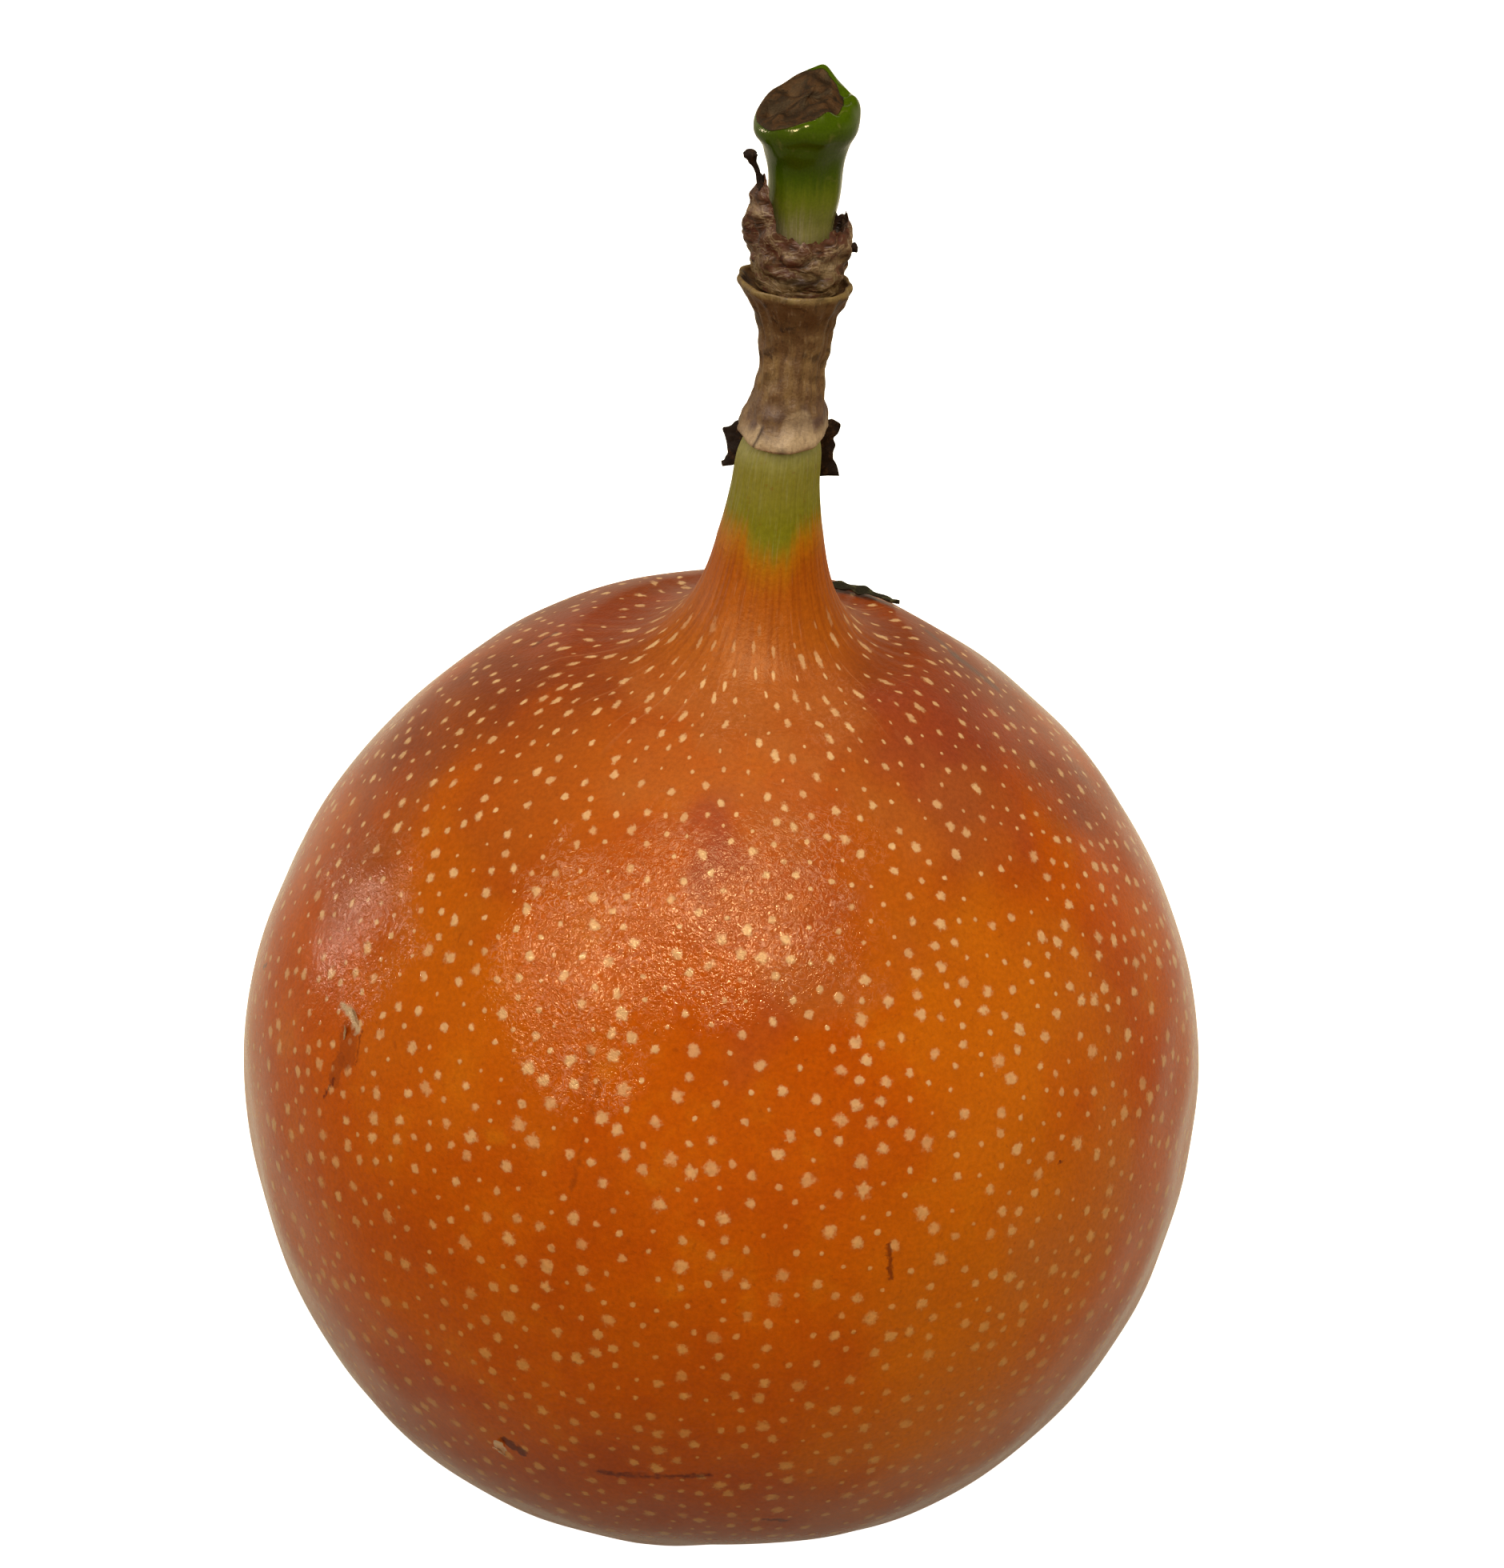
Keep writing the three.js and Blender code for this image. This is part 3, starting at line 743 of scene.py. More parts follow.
def specks(g):
    """The solid middle and the pale fringe of the nearest speck."""
    off = g.vector("SUBTRACT", g.place, g.field("speck_place", "Vector"))
    size, stretch, strength = g.split(g.field("speck_shape", "Vector"))
    length = g.length(off)
    along = g.dot(off, g.meridian())
    squeezed = along / stretch
    square = length * length - along * along + squeezed * squeezed
    distance = g.math("SQRT", g.math("MAXIMUM", square, 0.0))
    ratio = distance / size + (g.noise(g.place, 2.4, 3.0, 0.6) - 0.5) * 2.0
    return g.smooth(ratio, 1.25, 0.5) * strength, g.smooth(ratio, 2.0, 0.5) * strength


def shoulder_tone_and_shade():
    """How brown the rind is round the neck, and less at the front: partly the rind's own tone, partly painted
    shade on the shoulders.
    """
    angle = np.arctan2(RIND_GRID[..., 1], RIND_GRID[..., 0])
    front = facing(FRONT, angle, 0.7)
    height = RIND_GRID[..., 2] + 2.5 * ripple(RIND_GRID, 12, 131) + 1.0 * ripple(RIND_GRID, 4, 132)
    return smoothstep(51, 69, height) * (0.9 - 0.8 * front) * smoothstep(77, 73, RIND_GRID[..., 2])


def wander(wavelength, seed):
    """A random way for each point of the rind."""
    return np.stack([ripple(RIND_GRID, wavelength, seed + i) for i in range(3)], axis=2)


def patch_field(patches, seed):
    """How far each vertex of the rind lies within soft patches, whose edges wander."""
    place = RIND_GRID + 1.3 * wander(9, seed) + 0.5 * wander(3.5, seed)
    total = 0
    for patch in patches:
        start = on_rind(patch.start)[0]
        way = on_rind(patch.end)[0] - start
        share = np.clip((place - start) @ way / (way @ way), 0, 1)
        distance = np.linalg.norm(place - start - share[..., None] * way, axis=2)
        total = np.maximum(total, patch.strength * smoothstep(patch.faded, patch.solid, distance))
    return total


def marked(g, colour):
    """Lays the fine marks over a colour, with edges that wander."""
    uneven = g.noise(g.place, 2.2, 3.0, output="Color")
    shaken = g.scaled(g.vector("SUBTRACT", uneven, (0.5, 0.5, 0.5)), 0.8)
    place = g.vector("ADD", g.place, shaken)
    for mark in FINE_MARKS:
        start, end = (tuple(float(c) for c in on_rind(pixel)[0]) for pixel in (mark.start, mark.end))
        distance = g.line_distance(place, start, end)
        colour = g.mix(g.smooth(distance, mark.faded, mark.solid, 0.0, mark.strength), colour, mark.colour)
    return colour


def scuffs(g, grain):
    """The pale threads of the scuffed patches, painted highlights where the glints fall, and the strands and
    wrinkles of their relief.
    """
    crack = g.math("ABSOLUTE", g.noise(g.place, 1.0, 3.0, 0.62, 1.6) - 0.5)
    scuffed_glint = g.field("scuffed_glint")
    broken = scuffed_glint * g.smooth(g.noise(g.place, 0.4, 2.0), 0.42, 0.6, 0.25, 1.0)
    glint_threads = g.smooth(crack, 0.05, 0.0) * broken * g.smooth(grain, 0.35, 0.6, 0.08, 0.42)
    strands = g.smooth(crack, 0.12, 0.0) * (scuffed_glint * 0.2 + 0.08)
    wrinkles = g.noise(g.place, 2.2, 2.0, 0.6, 1.2) * (scuffed_glint * 1.6 + 0.3)
    return glint_threads, strands, wrinkles


def skin_material(name, on_fruit):
    """The skin of the fruit and of the green stalk, which run into each other."""
    g = Finish(name)
    outward = g.outward()
    mottle = g.noise(g.place, 0.16, 4.0, 0.62)
    grain = g.noise(g.place, 3.2, 2.0, 0.6)
    fleck = g.noise(g.place, 1.9, 3.0, 0.65)
    line = g.streaks(outward, 14.0, 0.22)
    fine_line = g.streaks(outward, 30.0, 0.5)
    on_neck = g.smooth(g.z, SHOULDER_HEIGHT - 0.4, SHOULDER_HEIGHT + 3.1)
    colour = g.coats(
        g.mix(g.smooth(mottle, 0.3, 0.6), DEEP_ORANGE, ORANGE),
        (g.smooth(mottle, 0.55, 0.72, 0.0, 0.6), AMBER),
    )
    if on_fruit:
        glint_threads, strands, wrinkles = scuffs(g, grain)
        colour = g.coats(
            colour,
            # painted shade on the shoulders, mixed with the rind's own brown round the neck
            (g.field("shoulder") * g.smooth(mottle, 0.3, 0.6, 0.75, 1.0), SHOULDER_BROWN_AND_SHADE),
            # painted shade: darker orange towards the bottom
            (g.smooth(g.z + mottle * 10.0, BELLY_HEIGHT + 7, BELLY_HEIGHT - 15, 0.0, 0.85), LOW_PAINTED_SHADE),
            (g.field("amber") * 0.9, AMBER),
            # blush, and painted shade on the shoulders
            (g.field("blush_and_shade"), BLUSH_AND_SHADE),
            # painted sheen: pale peach patches
            (g.field("salmon_sheen"), SALMON_AND_SHEEN),
            # painted highlight threads
            (glint_threads, GLINT_PALE),
        )
    from_foot = g.smooth(g.z, SHOULDER_HEIGHT - 1.9, SHOULDER_HEIGHT + 0.6)
    colour = g.coats(
        colour,
        (on_neck * 0.85, NECK_AMBER),
        (on_neck * g.smooth(line, 0.42, 0.64, 0.0, 0.35), NECK_BROWN),
        (from_foot * g.smooth(fine_line, 0.62, 0.74, 0.0, 0.4), NECK_PALE),
    )
    height = grain * 0.5 + fine_line * (on_neck * 0.6) + fleck * 0.5
    if on_fruit:
        core, halo = specks(g)
        speck_colour = g.mix(g.smooth(g.z, BELLY_HEIGHT - 1, BELLY_HEIGHT + 23), LOW_SPECK, SPECK)
        colour = marked(g, g.coats(colour, (halo * 0.25, SALMON_AND_SHEEN), (core * 0.85, speck_colour)))
        height = height + core * 0.4 + strands + wrinkles

    front = g.split(outward)[1] * -1.0
    border = g.smooth(front, 0.8, 1.0, 0.0, -1.7) + (NECK_END_HEIGHT + 1.9) + (line - 0.5) * 2.0
    above = g.z - border
    stalk = g.coats(
        g.mix(g.smooth(g.z, NECK_END_HEIGHT + 1.5, NECK_END_HEIGHT + 4.8), STALK_GREEN, STALK_OLIVE),
        (g.smooth(g.z + line * 1.6, COLLAR_HEIGHT - 2.3, COLLAR_HEIGHT + 0.3, 0.0, 0.8), STALK_PALE),
        (g.smooth(fine_line, 0.5, 0.72, 0.0, 0.3), STALK_PALE),
        (g.smooth(fine_line, 0.48, 0.3, 0.0, 0.35), STALK_GREEN),
    )
    colour = g.coats(
        colour,
        (g.smooth(above, -3.2, -0.4, 0.0, 0.75), STALK_YELLOW),
        (g.smooth(above, -1.5, 1.2), stalk),
        (g.smooth(fleck, 0.6, 0.72, 0.0, 0.3), NECK_BROWN),
    )
    roughness = mottle * 0.08 + 0.1 + on_neck * 0.1
    roughness = roughness + g.smooth(g.z, SHOULDER_HEIGHT - 8.4, SHOULDER_HEIGHT - 1.4, 0.0, 0.22)
    colour = g.shaded(colour, grain, 0.88, 1.1)
    return g.surface(colour, roughness, height, 0.04, Specular_IOR_Level=0.07, Specular_Tint=WAX_TINT)


# ---- the green stalk ----
STALK_COLUMNS = 256


def make_green_stalk(material):
    foot = NECK_END_HEIGHT + GAP
    inside = NECK_END_HEIGHT - 0.25
    wall = through((
        (NECK_END_RADIUS, NECK_END_HEIGHT), (3.27, foot + 1.5), (3.08, foot + 2.7), (2.95, foot + 3.8),
        (STALK_RADIUS, foot + 5), (2.8, 85.2), (2.6, 86), (2.1, 86.9), (1.2, 87.4), (0, STALK_TOP),
    ), 0.12)
    profile = np.vstack(((0, inside), (NECK_END_RADIUS - 0.5, inside), wall))
    radius, height, angle = turned(profile, STALK_COLUMNS)
    start = smoothstep(NECK_END_HEIGHT + 1, NECK_END_HEIGHT + 2, height)
    grown = np.maximum(radius - 0.02 * (1 - neck_lines(angle, height)) * start, 0)
    grid = around(grown, angle, height, axis_shift(height))
    return finish_piece(closed_skin("green_stalk", grid, material), "green_stalk", "neck_stalk")


# ---- the dry stalk ----
DOME_ANGLE = FRONT + 0.3
CRACK_ANGLE = -2.24


def dry_stalk_profile():
    return through((
        (0, STALK_TOP + 0.45), (1.4, STALK_TOP + 0.35), (2.3, COLLAR_HEIGHT + 0.7),
        (2.75, COLLAR_HEIGHT + 0.1), (COLLAR_RADIUS + 0.1, COLLAR_HEIGHT),
        (COLLAR_RADIUS, COLLAR_HEIGHT + 0.6), (2.55, COLLAR_HEIGHT + 2),
        (WAIST_RADIUS, WAIST_HEIGHT), (2.4, WAIST_HEIGHT + 1.8), (2.75, RING_HEIGHT - 2.2),
        (3.2, RING_HEIGHT - 1.2), (3.42, RING_HEIGHT - 0.5), (RING_RADIUS, RING_HEIGHT - 0.15),
        (RING_RADIUS - 0.05, RING_HEIGHT + 0.2), (RING_RADIUS - 0.25, RING_HEIGHT + 0.15),
        (SHEATH_FOOT_RADIUS + 0.35, RING_HEIGHT - RING_CUP + 0.15),
        (SHEATH_FOOT_RADIUS, RING_HEIGHT - RING_CUP),
        (CORE_RADIUS + 0.1, RING_HEIGHT - RING_CUP), (CORE_RADIUS, RING_HEIGHT),
        (CORE_RADIUS - 0.05, CORE_TOP - 0.2), (CORE_RADIUS - 0.4, CORE_TOP), (0, CORE_TOP),
    ), 0.085)


def dry_stalk_fields(radius, height, angle):
    """Where the bark is pale, where the ring's rim catches the light, and where it is dark."""
    front = smoothstep(0.0, 0.6, np.cos(turn_between(FRONT + 0.1, angle)))
    above_lip = height - COLLAR_HEIGHT
    low_lip = smoothstep(1.0, 0.35, above_lip) * smoothstep(2.3, 2.75, radius)
    dome = smoothstep(1.15, 0.85, np.hypot(turn_between(DOME_ANGLE, angle) / 0.42, (above_lip - 0.9) / 1.1))
    rim = bump(height - RING_HEIGHT - 0.1, 0.26) * smoothstep(RING_RADIUS - 0.35, RING_RADIUS - 0.1, radius)
    off_crack = turn_between(CRACK_ANGLE, angle) * COLLAR_RADIUS - 0.35 * (above_lip - 0.4)
    in_crack = smoothstep(0.75, 0.5, abs(above_lip - 0.45))
    stain = 0.9 * bump(np.hypot(turn_between(FRONT - 0.06, angle) * COLLAR_RADIUS, above_lip), 0.32)
    return {
        "pale": np.clip(low_lip * front + 0.6 * dome + bump(off_crack + 0.3, 0.16) * in_crack, 0, 1),
        "rim": np.clip(rim, 0, 1),
        "dark": np.clip(bump(off_crack, 0.09) * in_crack + stain, 0, 1),
    }


def make_dry_stalk(material):
    radius, height, angle = turned(dry_stalk_profile(), STALK_COLUMNS)
    lip = bump(height - COLLAR_HEIGHT, 1.1) * smoothstep(2.5, COLLAR_RADIUS, radius)
    broad = 0.09 * np.sin(2 * angle + 1.1 * height)
    fine = 0.05 * np.sin(5 * angle - 0.8 * height)
    ring = bump(height - RING_HEIGHT, 1.6)
    above_collar = smoothstep(COLLAR_HEIGHT + 0.2, COLLAR_HEIGHT + 1.4, height)
    outside = above_collar * smoothstep(RING_HEIGHT, RING_HEIGHT - 0.7, height)
    ridges = outside * (0.03 * (fibres(angle, height, 8, 34, 0.5, 3) - 1))
    knobbly = 0.05 * (ripple(around(radius, angle, height), 1.5, 8) - 1) * smoothstep(1.9, 2.3, radius)
    brim = (0.2 - 0.15 * np.cos(angle)) * bump(height - RING_HEIGHT, 0.9) * smoothstep(2.9, 3.3, radius)
    roll = 0.16 * bump(height - COLLAR_HEIGHT - 0.3, 0.35) - 0.14 * bump(height - COLLAR_HEIGHT - 1.1, 0.28)
    roll = roll * smoothstep(0.3, 1, -np.sin(angle)) * smoothstep(2.2, 2.6, radius)
    grown = radius + (broad + fine) * bump(height - WAIST_HEIGHT - 1, 2.6) + ridges + knobbly + brim + roll
    grown = np.maximum(grown, 0)
    dip = COLLAR_DIP * lip * smoothstep(0.2, 1, -np.sin(angle))
    z = height - dip - RING_TILT * (grown * np.cos(angle)) * ring
    grid = around(grown, angle, z, axis_shift(height))
    piece = closed_skin("dry_stalk_bark", grid, material, dry_stalk_fields(radius, height, angle))
    return finish_piece(piece, "dry_bark", "dry_stalk")


BARK_DARK = srgb(60, 38, 20)
BARK_BROWN = srgb(128, 90, 52)
BARK_UMBER = srgb(110, 74, 38)
BARK_TAN = srgb(164, 124, 72)
BARK_PLUM = srgb(112, 84, 68)
BARK_STRAW = srgb(214, 176, 126)
RIM_STRAW = srgb(166, 134, 74)


def bark_material():
    g = Finish("dry_bark")
    outward = g.outward()
    line = g.streaks(outward, 2.2, 0.35, 3.0)
    fine_line = g.streaks(outward, 12.0, 1.4, 3.0)
    blotch = g.noise(g.place, 0.75, 4.0, 0.62, 0.5)
    grain = g.noise(g.place, 5.0, 3.0, 0.6)
    upper = g.smooth(g.z + (blotch - 0.5) * 5.0, WAIST_HEIGHT + 0.3, RING_HEIGHT - 2)
    stained = g.smooth(g.z, WAIST_HEIGHT - 0.8, RING_HEIGHT - 3, 0.35, 0.85) * g.smooth(blotch, 0.52, 0.64)
    low = g.smooth(g.z, COLLAR_HEIGHT + 3.1, COLLAR_HEIGHT + 1.1) * g.smooth(blotch, 0.36, 0.56, 0.3, 0.8)
    colour = g.coats(
        g.mix(g.smooth(line, 0.38, 0.64), BARK_BROWN, BARK_TAN),
        (upper * 0.85, BARK_UMBER),
        (stained, BARK_DARK),
        (g.smooth(blotch, 0.42, 0.3, 0.0, 0.5), BARK_TAN),
        (g.smooth(fine_line, 0.45, 0.3, 0.0, 0.35), BARK_DARK),
        (g.smooth(fine_line, 0.58, 0.72, 0.0, 0.25), BARK_STRAW),
        (low, BARK_PLUM),
        (g.field("pale") * g.smooth(fine_line, 0.25, 0.6, 0.6, 0.95), BARK_STRAW),
        (g.field("rim") * g.smooth(blotch, 0.3, 0.6, 1.0, 0.4), RIM_STRAW),
        (g.field("dark") * 0.85, BARK_DARK),
    )
    colour = g.shaded(colour, grain, 0.85, 1.12)
    height = fine_line * 0.35 + grain * 0.3 + blotch * 0.9 + line * 0.4
    return g.surface(colour, grain * 0.2 + 0.42, height, 0.16, Specular_IOR_Level=0.08)


# ---- the papery sheath ----
SHEATH_COLUMNS = 320
SHEATH_ROWS = 42  # of each of its two skins


def rim_height(angle):
    """The torn rim: a tall tongue, a raised corner at +X, a notch at the front and small teeth all round."""
    tongue = TONGUE_RISE * facing(TONGUE_ANGLE, angle, 0.42)
    shoulder = 0.7 * facing(math.pi, angle, 0.5)
    corner = 0.4 * facing(0.1, angle, 0.45)
    notch = -0.3 * facing(-1.6, angle, 0.35)
    teeth = 0.16 * np.sin(7 * angle + 0.6) + 0.1 * np.sin(13 * angle)
    fringe = 0.07 * np.sin(29 * angle + 1.3) + 0.05 * np.sin(53 * angle)
    return SHEATH_RIM + tongue + shoulder + corner + notch + teeth + fringe


def sheath_grid():
    """Two skins of the torn wall, the outer one from the foot up and the inner one back down."""
    rise = np.linspace(0, 1, SHEATH_ROWS)
    share = np.concatenate((rise, rise[::-1]))[:, None]
    inside = np.repeat((0.0, 1.0), SHEATH_ROWS)[:, None]
    angle = np.linspace(-math.pi, math.pi, SHEATH_COLUMNS, endpoint=False)[None, :]
    share = share + 0 * angle
    angle = angle + 0 * share
    wall = SHEATH_WALL * (1 - 0.75 * smoothstep(0.75, 1, share))
    outer = SHEATH_FOOT_RADIUS + (SHEATH_RADIUS - SHEATH_FOOT_RADIUS) * smoothstep(0, 0.4, share)
    radius = outer - inside * wall - (1 - inside) * 0.25 * (SHEATH_WALL - wall)
    crumple = 0.4 * share * (1 - share) * np.sin(5 * angle + 2 * share)
    flare = 0.15 * share * facing(-0.6, angle, 0.9)
    height = SHEATH_FOOT + share * (rim_height(angle) - SHEATH_FOOT)
    place = around(radius, angle, height)
    creased = 0.1 * (ripple(place, 1.7, 21) - 0.7) + 0.05 * (ripple(place, 0.8, 22) - 0.6)
    rolled = 0.12 * bump(share - 0.7, 0.1) - 0.16 * bump(share - 0.42, 0.13)
    ribs = 0.02 * fibres(angle, height, 10, 40, 1.2, 23) + rolled * smoothstep(0.9, 0.3, np.sin(angle))
    ribs = ribs + 0.4 * facing(math.pi, angle, 0.6) * bump(share - 0.7, 0.25)
    grown = radius + crumple + flare + (creased + ribs) * smoothstep(0, 0.15, share)
    z = height - RING_TILT * (grown * np.cos(angle)) * (1 - share)
    straw = facing(-1.0, angle, 0.32) * bump(height - 98.9, 0.4) + 0.5 * bump(share - 0.74, 0.05)
    # painted shade: dark in the recess just above the ring at the front and over the whole inner skin
    recess_shade = facing(-1.5, angle, 0.5) * bump(height - 98.05, 0.32) + inside * 0.7
    fields = {"rim": smoothstep(0.78, 1, share), "straw": np.clip(straw, 0, 1), "dark": np.clip(recess_shade, 0, 1)}
    return around(grown, angle, z, axis_shift(z)), fields


def make_sheath(material):
    grid, fields = sheath_grid()
    faces = quads(*grid.shape[:2], close_rows=True)
    piece = new_piece("torn_sheath", grid.reshape(-1, 3), faces, material, fields)
    return finish_piece(piece, "papery_sheath", "bract_sheath")


def make_rod(name, points, radii, sides, material, seed, rough):
    """A closed bent rod of uneven round section through the points: a dry scrap."""
    path = through(np.column_stack((points, radii)), 0.08)
    centres, widths = path[:, :3], path[:, 3]
    forward = np.gradient(centres, axis=0)
    forward /= np.linalg.norm(forward, axis=1, keepdims=True)
    side = np.cross(forward, (0.0, 1.0, 0.0))
    side /= np.linalg.norm(side, axis=1, keepdims=True)
    other = np.cross(forward, side)
    turn = np.linspace(0, 2 * math.pi, sides, endpoint=False)
    ring = np.cos(turn)[None, :, None] * side[:, None, :] + np.sin(turn)[None, :, None] * other[:, None, :]
    ends = smoothstep(0, 1.5, np.minimum(np.arange(len(path)), np.arange(len(path))[::-1]))
    radius = widths[:, None] * (1 + rough * ripple(centres[:, None, :] + ring, 0.7, seed)) * ends[:, None]
    grid = centres[:, None, :] + ring * radius[..., None]
    return finish_piece(closed_skin(name, grid, material), "dry_scrap")


def make_sheath_thread(material):
    """The curled thread on the tongue's tip, with its dark knob."""
    middle = SHEATH_RADIUS - SHEATH_WALL / 2
    x = float(axis_shift(HOOK_FOOT)) + middle * math.cos(TONGUE_ANGLE)
    y = middle * math.sin(TONGUE_ANGLE)
    points = (
        (x + 0.05, y, HOOK_FOOT + 0.2), (x - 0.1, y, 104.2), (x - 0.35, y - 0.05, 105.0),
        (x - 0.6, y - 0.1, 105.6), (x - 0.7, y - 0.1, 105.95), (x - 0.65, y - 0.1, 106.3),
    )
    return make_rod("sheath_thread", points, (0.34, 0.24, 0.16, 0.26, 0.42, 0.2), 20, material, 41, 0.12)


def make_sheath_stub(material):
    """The broken stub that stands out of the sheath at +X."""
    angle = -0.12
    x = float(axis_shift(STUB_HEIGHT))
    points = []
    for out, up in ((-0.5, -0.1), (0, -0.05), (0.55, 0.05)):
        radius = SHEATH_RADIUS + out
        points.append((x + radius * math.cos(angle), radius * math.sin(angle), STUB_HEIGHT + up))
    path = through(np.array(points), 0.08)
    radii = np.interp(np.linspace(0, 1, len(path)), (0, 0.7, 1), (0.22, 0.26, 0.34))
    return make_rod("sheath_stub", path, radii, 16, material, 43, 0.16)


SHEATH_BROWN = srgb(108, 70, 42)
SHEATH_DARK = srgb(52, 34, 20)
SHEATH_RED = srgb(104, 54, 34)
SHEATH_STRAW = srgb(190, 156, 108)
SHEATH_TAN = srgb(130, 98, 56)


def sheath_material():
    g = Finish("papery_sheath")
    flatter = g.vector("MULTIPLY", g.place, (1.0, 1.0, 2.1))
    patch = g.noise(flatter, 0.55, 3.0, 0.55, 0.8)
    grain = g.noise(g.place, 6.0, 2.0, 0.6)
    fold = g.noise(flatter, 0.5, 2.0, 0.5, 1.5)
    low = g.smooth(g.z + patch * 1.6, SHEATH_RIM - 0.3, SHEATH_RIM - 1.9)
    colour = g.coats(
        g.mix(low, SHEATH_BROWN, SHEATH_TAN),
        (g.smooth(patch, 0.5, 0.62, 0.0, 0.8), SHEATH_RED),
        (g.smooth(fold, 0.46, 0.34, 0.0, 0.75), SHEATH_DARK),
        (g.smooth(g.math("ABSOLUTE", fold - 0.55), 0.035, 0.0, 0.0, 0.55), SHEATH_STRAW),
        (g.field("rim") * g.smooth(grain, 0.35, 0.6, 0.1, 0.5), SHEATH_RED),
        (g.field("straw") * g.smooth(grain, 0.3, 0.6, 0.4, 1.0), SHEATH_STRAW),
        # painted shade in the recess and on the inner skin
        (g.field("dark") * 0.9, SHEATH_DARK),
    )
    colour = g.shaded(colour, grain, 0.88, 1.1)
    height = fold * 1.4 + grain * 0.12 + patch * 0.7
    return g.surface(colour, grain * 0.2 + 0.42, height, 0.26, Specular_IOR_Level=0.08)


# ---- the stem ----
RIM_HEIGHT = 109.2
LEFT_SLOPE = 0.12
SLOPE_FOOT = 104.5
SLOPE_TOP = 108.8
FALL_DEPTH = 1.9
BACK_FALL_DEPTH = 0.3
FRONT_FALL_DEPTH = 0.85
CORNER_TURN = 1.17
CORNER_START = 2.8
TIP_LIFT = 0.15
TIP_TOP = 110.3
CUT_CENTRE_X = -0.75
CUT_RADIUS = 2.8
CUT_EDGE = 3.28  # no scar reaches past this radius


def stem_profile():
    foot = CORE_TOP + GAP
    return through((
        (0, foot), (STEM_RADIUS - 0.3, foot), (STEM_RADIUS, foot + 0.4), (STEM_RADIUS, 101.5),
        (STEM_RADIUS + 0.05, 103.2), (2.33, 105), (2.68, 106.3), (3.03, 107.4), (3.26, RIM_HEIGHT - 1.1),
        (KNUCKLE_RADIUS, RIM_HEIGHT - 0.6), (3.27, RIM_HEIGHT - 0.28), (3.08, RIM_HEIGHT - 0.06),
        (2.75, RIM_HEIGHT), (2.3, RIM_HEIGHT - 0.09), (1.5, RIM_HEIGHT - 0.17), (0, RIM_HEIGHT - 0.2),
    ), 0.075)


def knuckle_slope(x, y):
    """How far the slanting cut lifts or drops the knuckle, with a tip at the back and falls at the right."""
    sloped = CUT_SLOPE_X * x + LEFT_SLOPE * np.minimum(x, 0) + CUT_SLOPE_Y * y
    sloped -= FALL_DEPTH * smoothstep(0.6, 4.2, x) * smoothstep(-5, 1, y)
    past_corner = (x - CORNER_TURN * y - CORNER_START) / math.hypot(1, CORNER_TURN)
    sloped -= FRONT_FALL_DEPTH * smoothstep(0, 1.6, past_corner)
    sloped -= BACK_FALL_DEPTH * smoothstep(0.9, 2.2, x) * smoothstep(0.5, 2, y)
    return sloped + TIP_LIFT * bump(np.hypot(x - TIP_X, y - TIP_Y - 0.6), TIP_SPREAD)


def make_stem(material):
    radius, height, angle = turned(stem_profile(), STALK_COLUMNS)
    place = around(radius, angle, height)
    shaft = smoothstep(106, 104, height)
    soft = 0.02 * (fibres(angle, height, 4, 14, 0.2, 51) - 1) * shaft + 0.03 * (ripple(place, 3, 52) - 1)
    grown = np.maximum(radius + soft * smoothstep(0, 1, radius), 0)
    x = grown * np.cos(angle)
    y = grown * np.sin(angle)
    on_top = smoothstep(RIM_HEIGHT - 0.8, RIM_HEIGHT - 0.2, height)
    scarred = 0.14 * (ripple(place, 1.4, 53) - 0.5) * smoothstep(3.1, 2.4, grown) * on_top
    ragged = 0.05 * np.sin(5 * angle + 0.7) + 0.03 * np.sin(11 * angle)
    z = height + smoothstep(SLOPE_FOOT, SLOPE_TOP, height) * (knuckle_slope(x, y) + ragged) + scarred
    z = np.minimum(z, TIP_TOP)
    fuller = 0.4 * bump(height - 103.4, 2.4) * smoothstep(0.2, 1, np.cos(angle)) * smoothstep(0, 2, radius)
    grid = np.stack((x + fuller + axis_shift(z), y, z), axis=2)
    from_cut = np.hypot(x - CUT_CENTRE_X, y) - CUT_RADIUS
    cut = on_top * smoothstep(0.3, -0.1, from_cut) * smoothstep(CUT_EDGE, CUT_EDGE - 0.12, grown)
    return finish_piece(closed_skin("cut_stem", grid, material, {"cut": cut}), "green_stem", "stem")


STEM_DEEP = srgb(74, 92, 4)
STEM_GREEN = srgb(120, 122, 24)
STEM_OLIVE = srgb(142, 130, 60)
STEM_TAN = srgb(176, 156, 112)
CUT_BROWN = srgb(50, 28, 10)
CUT_DARK = srgb(28, 15, 5)
CUT_TAN = srgb(82, 48, 18)
STEM_TINT = (1.0, 0.85, 0.5, 1.0)


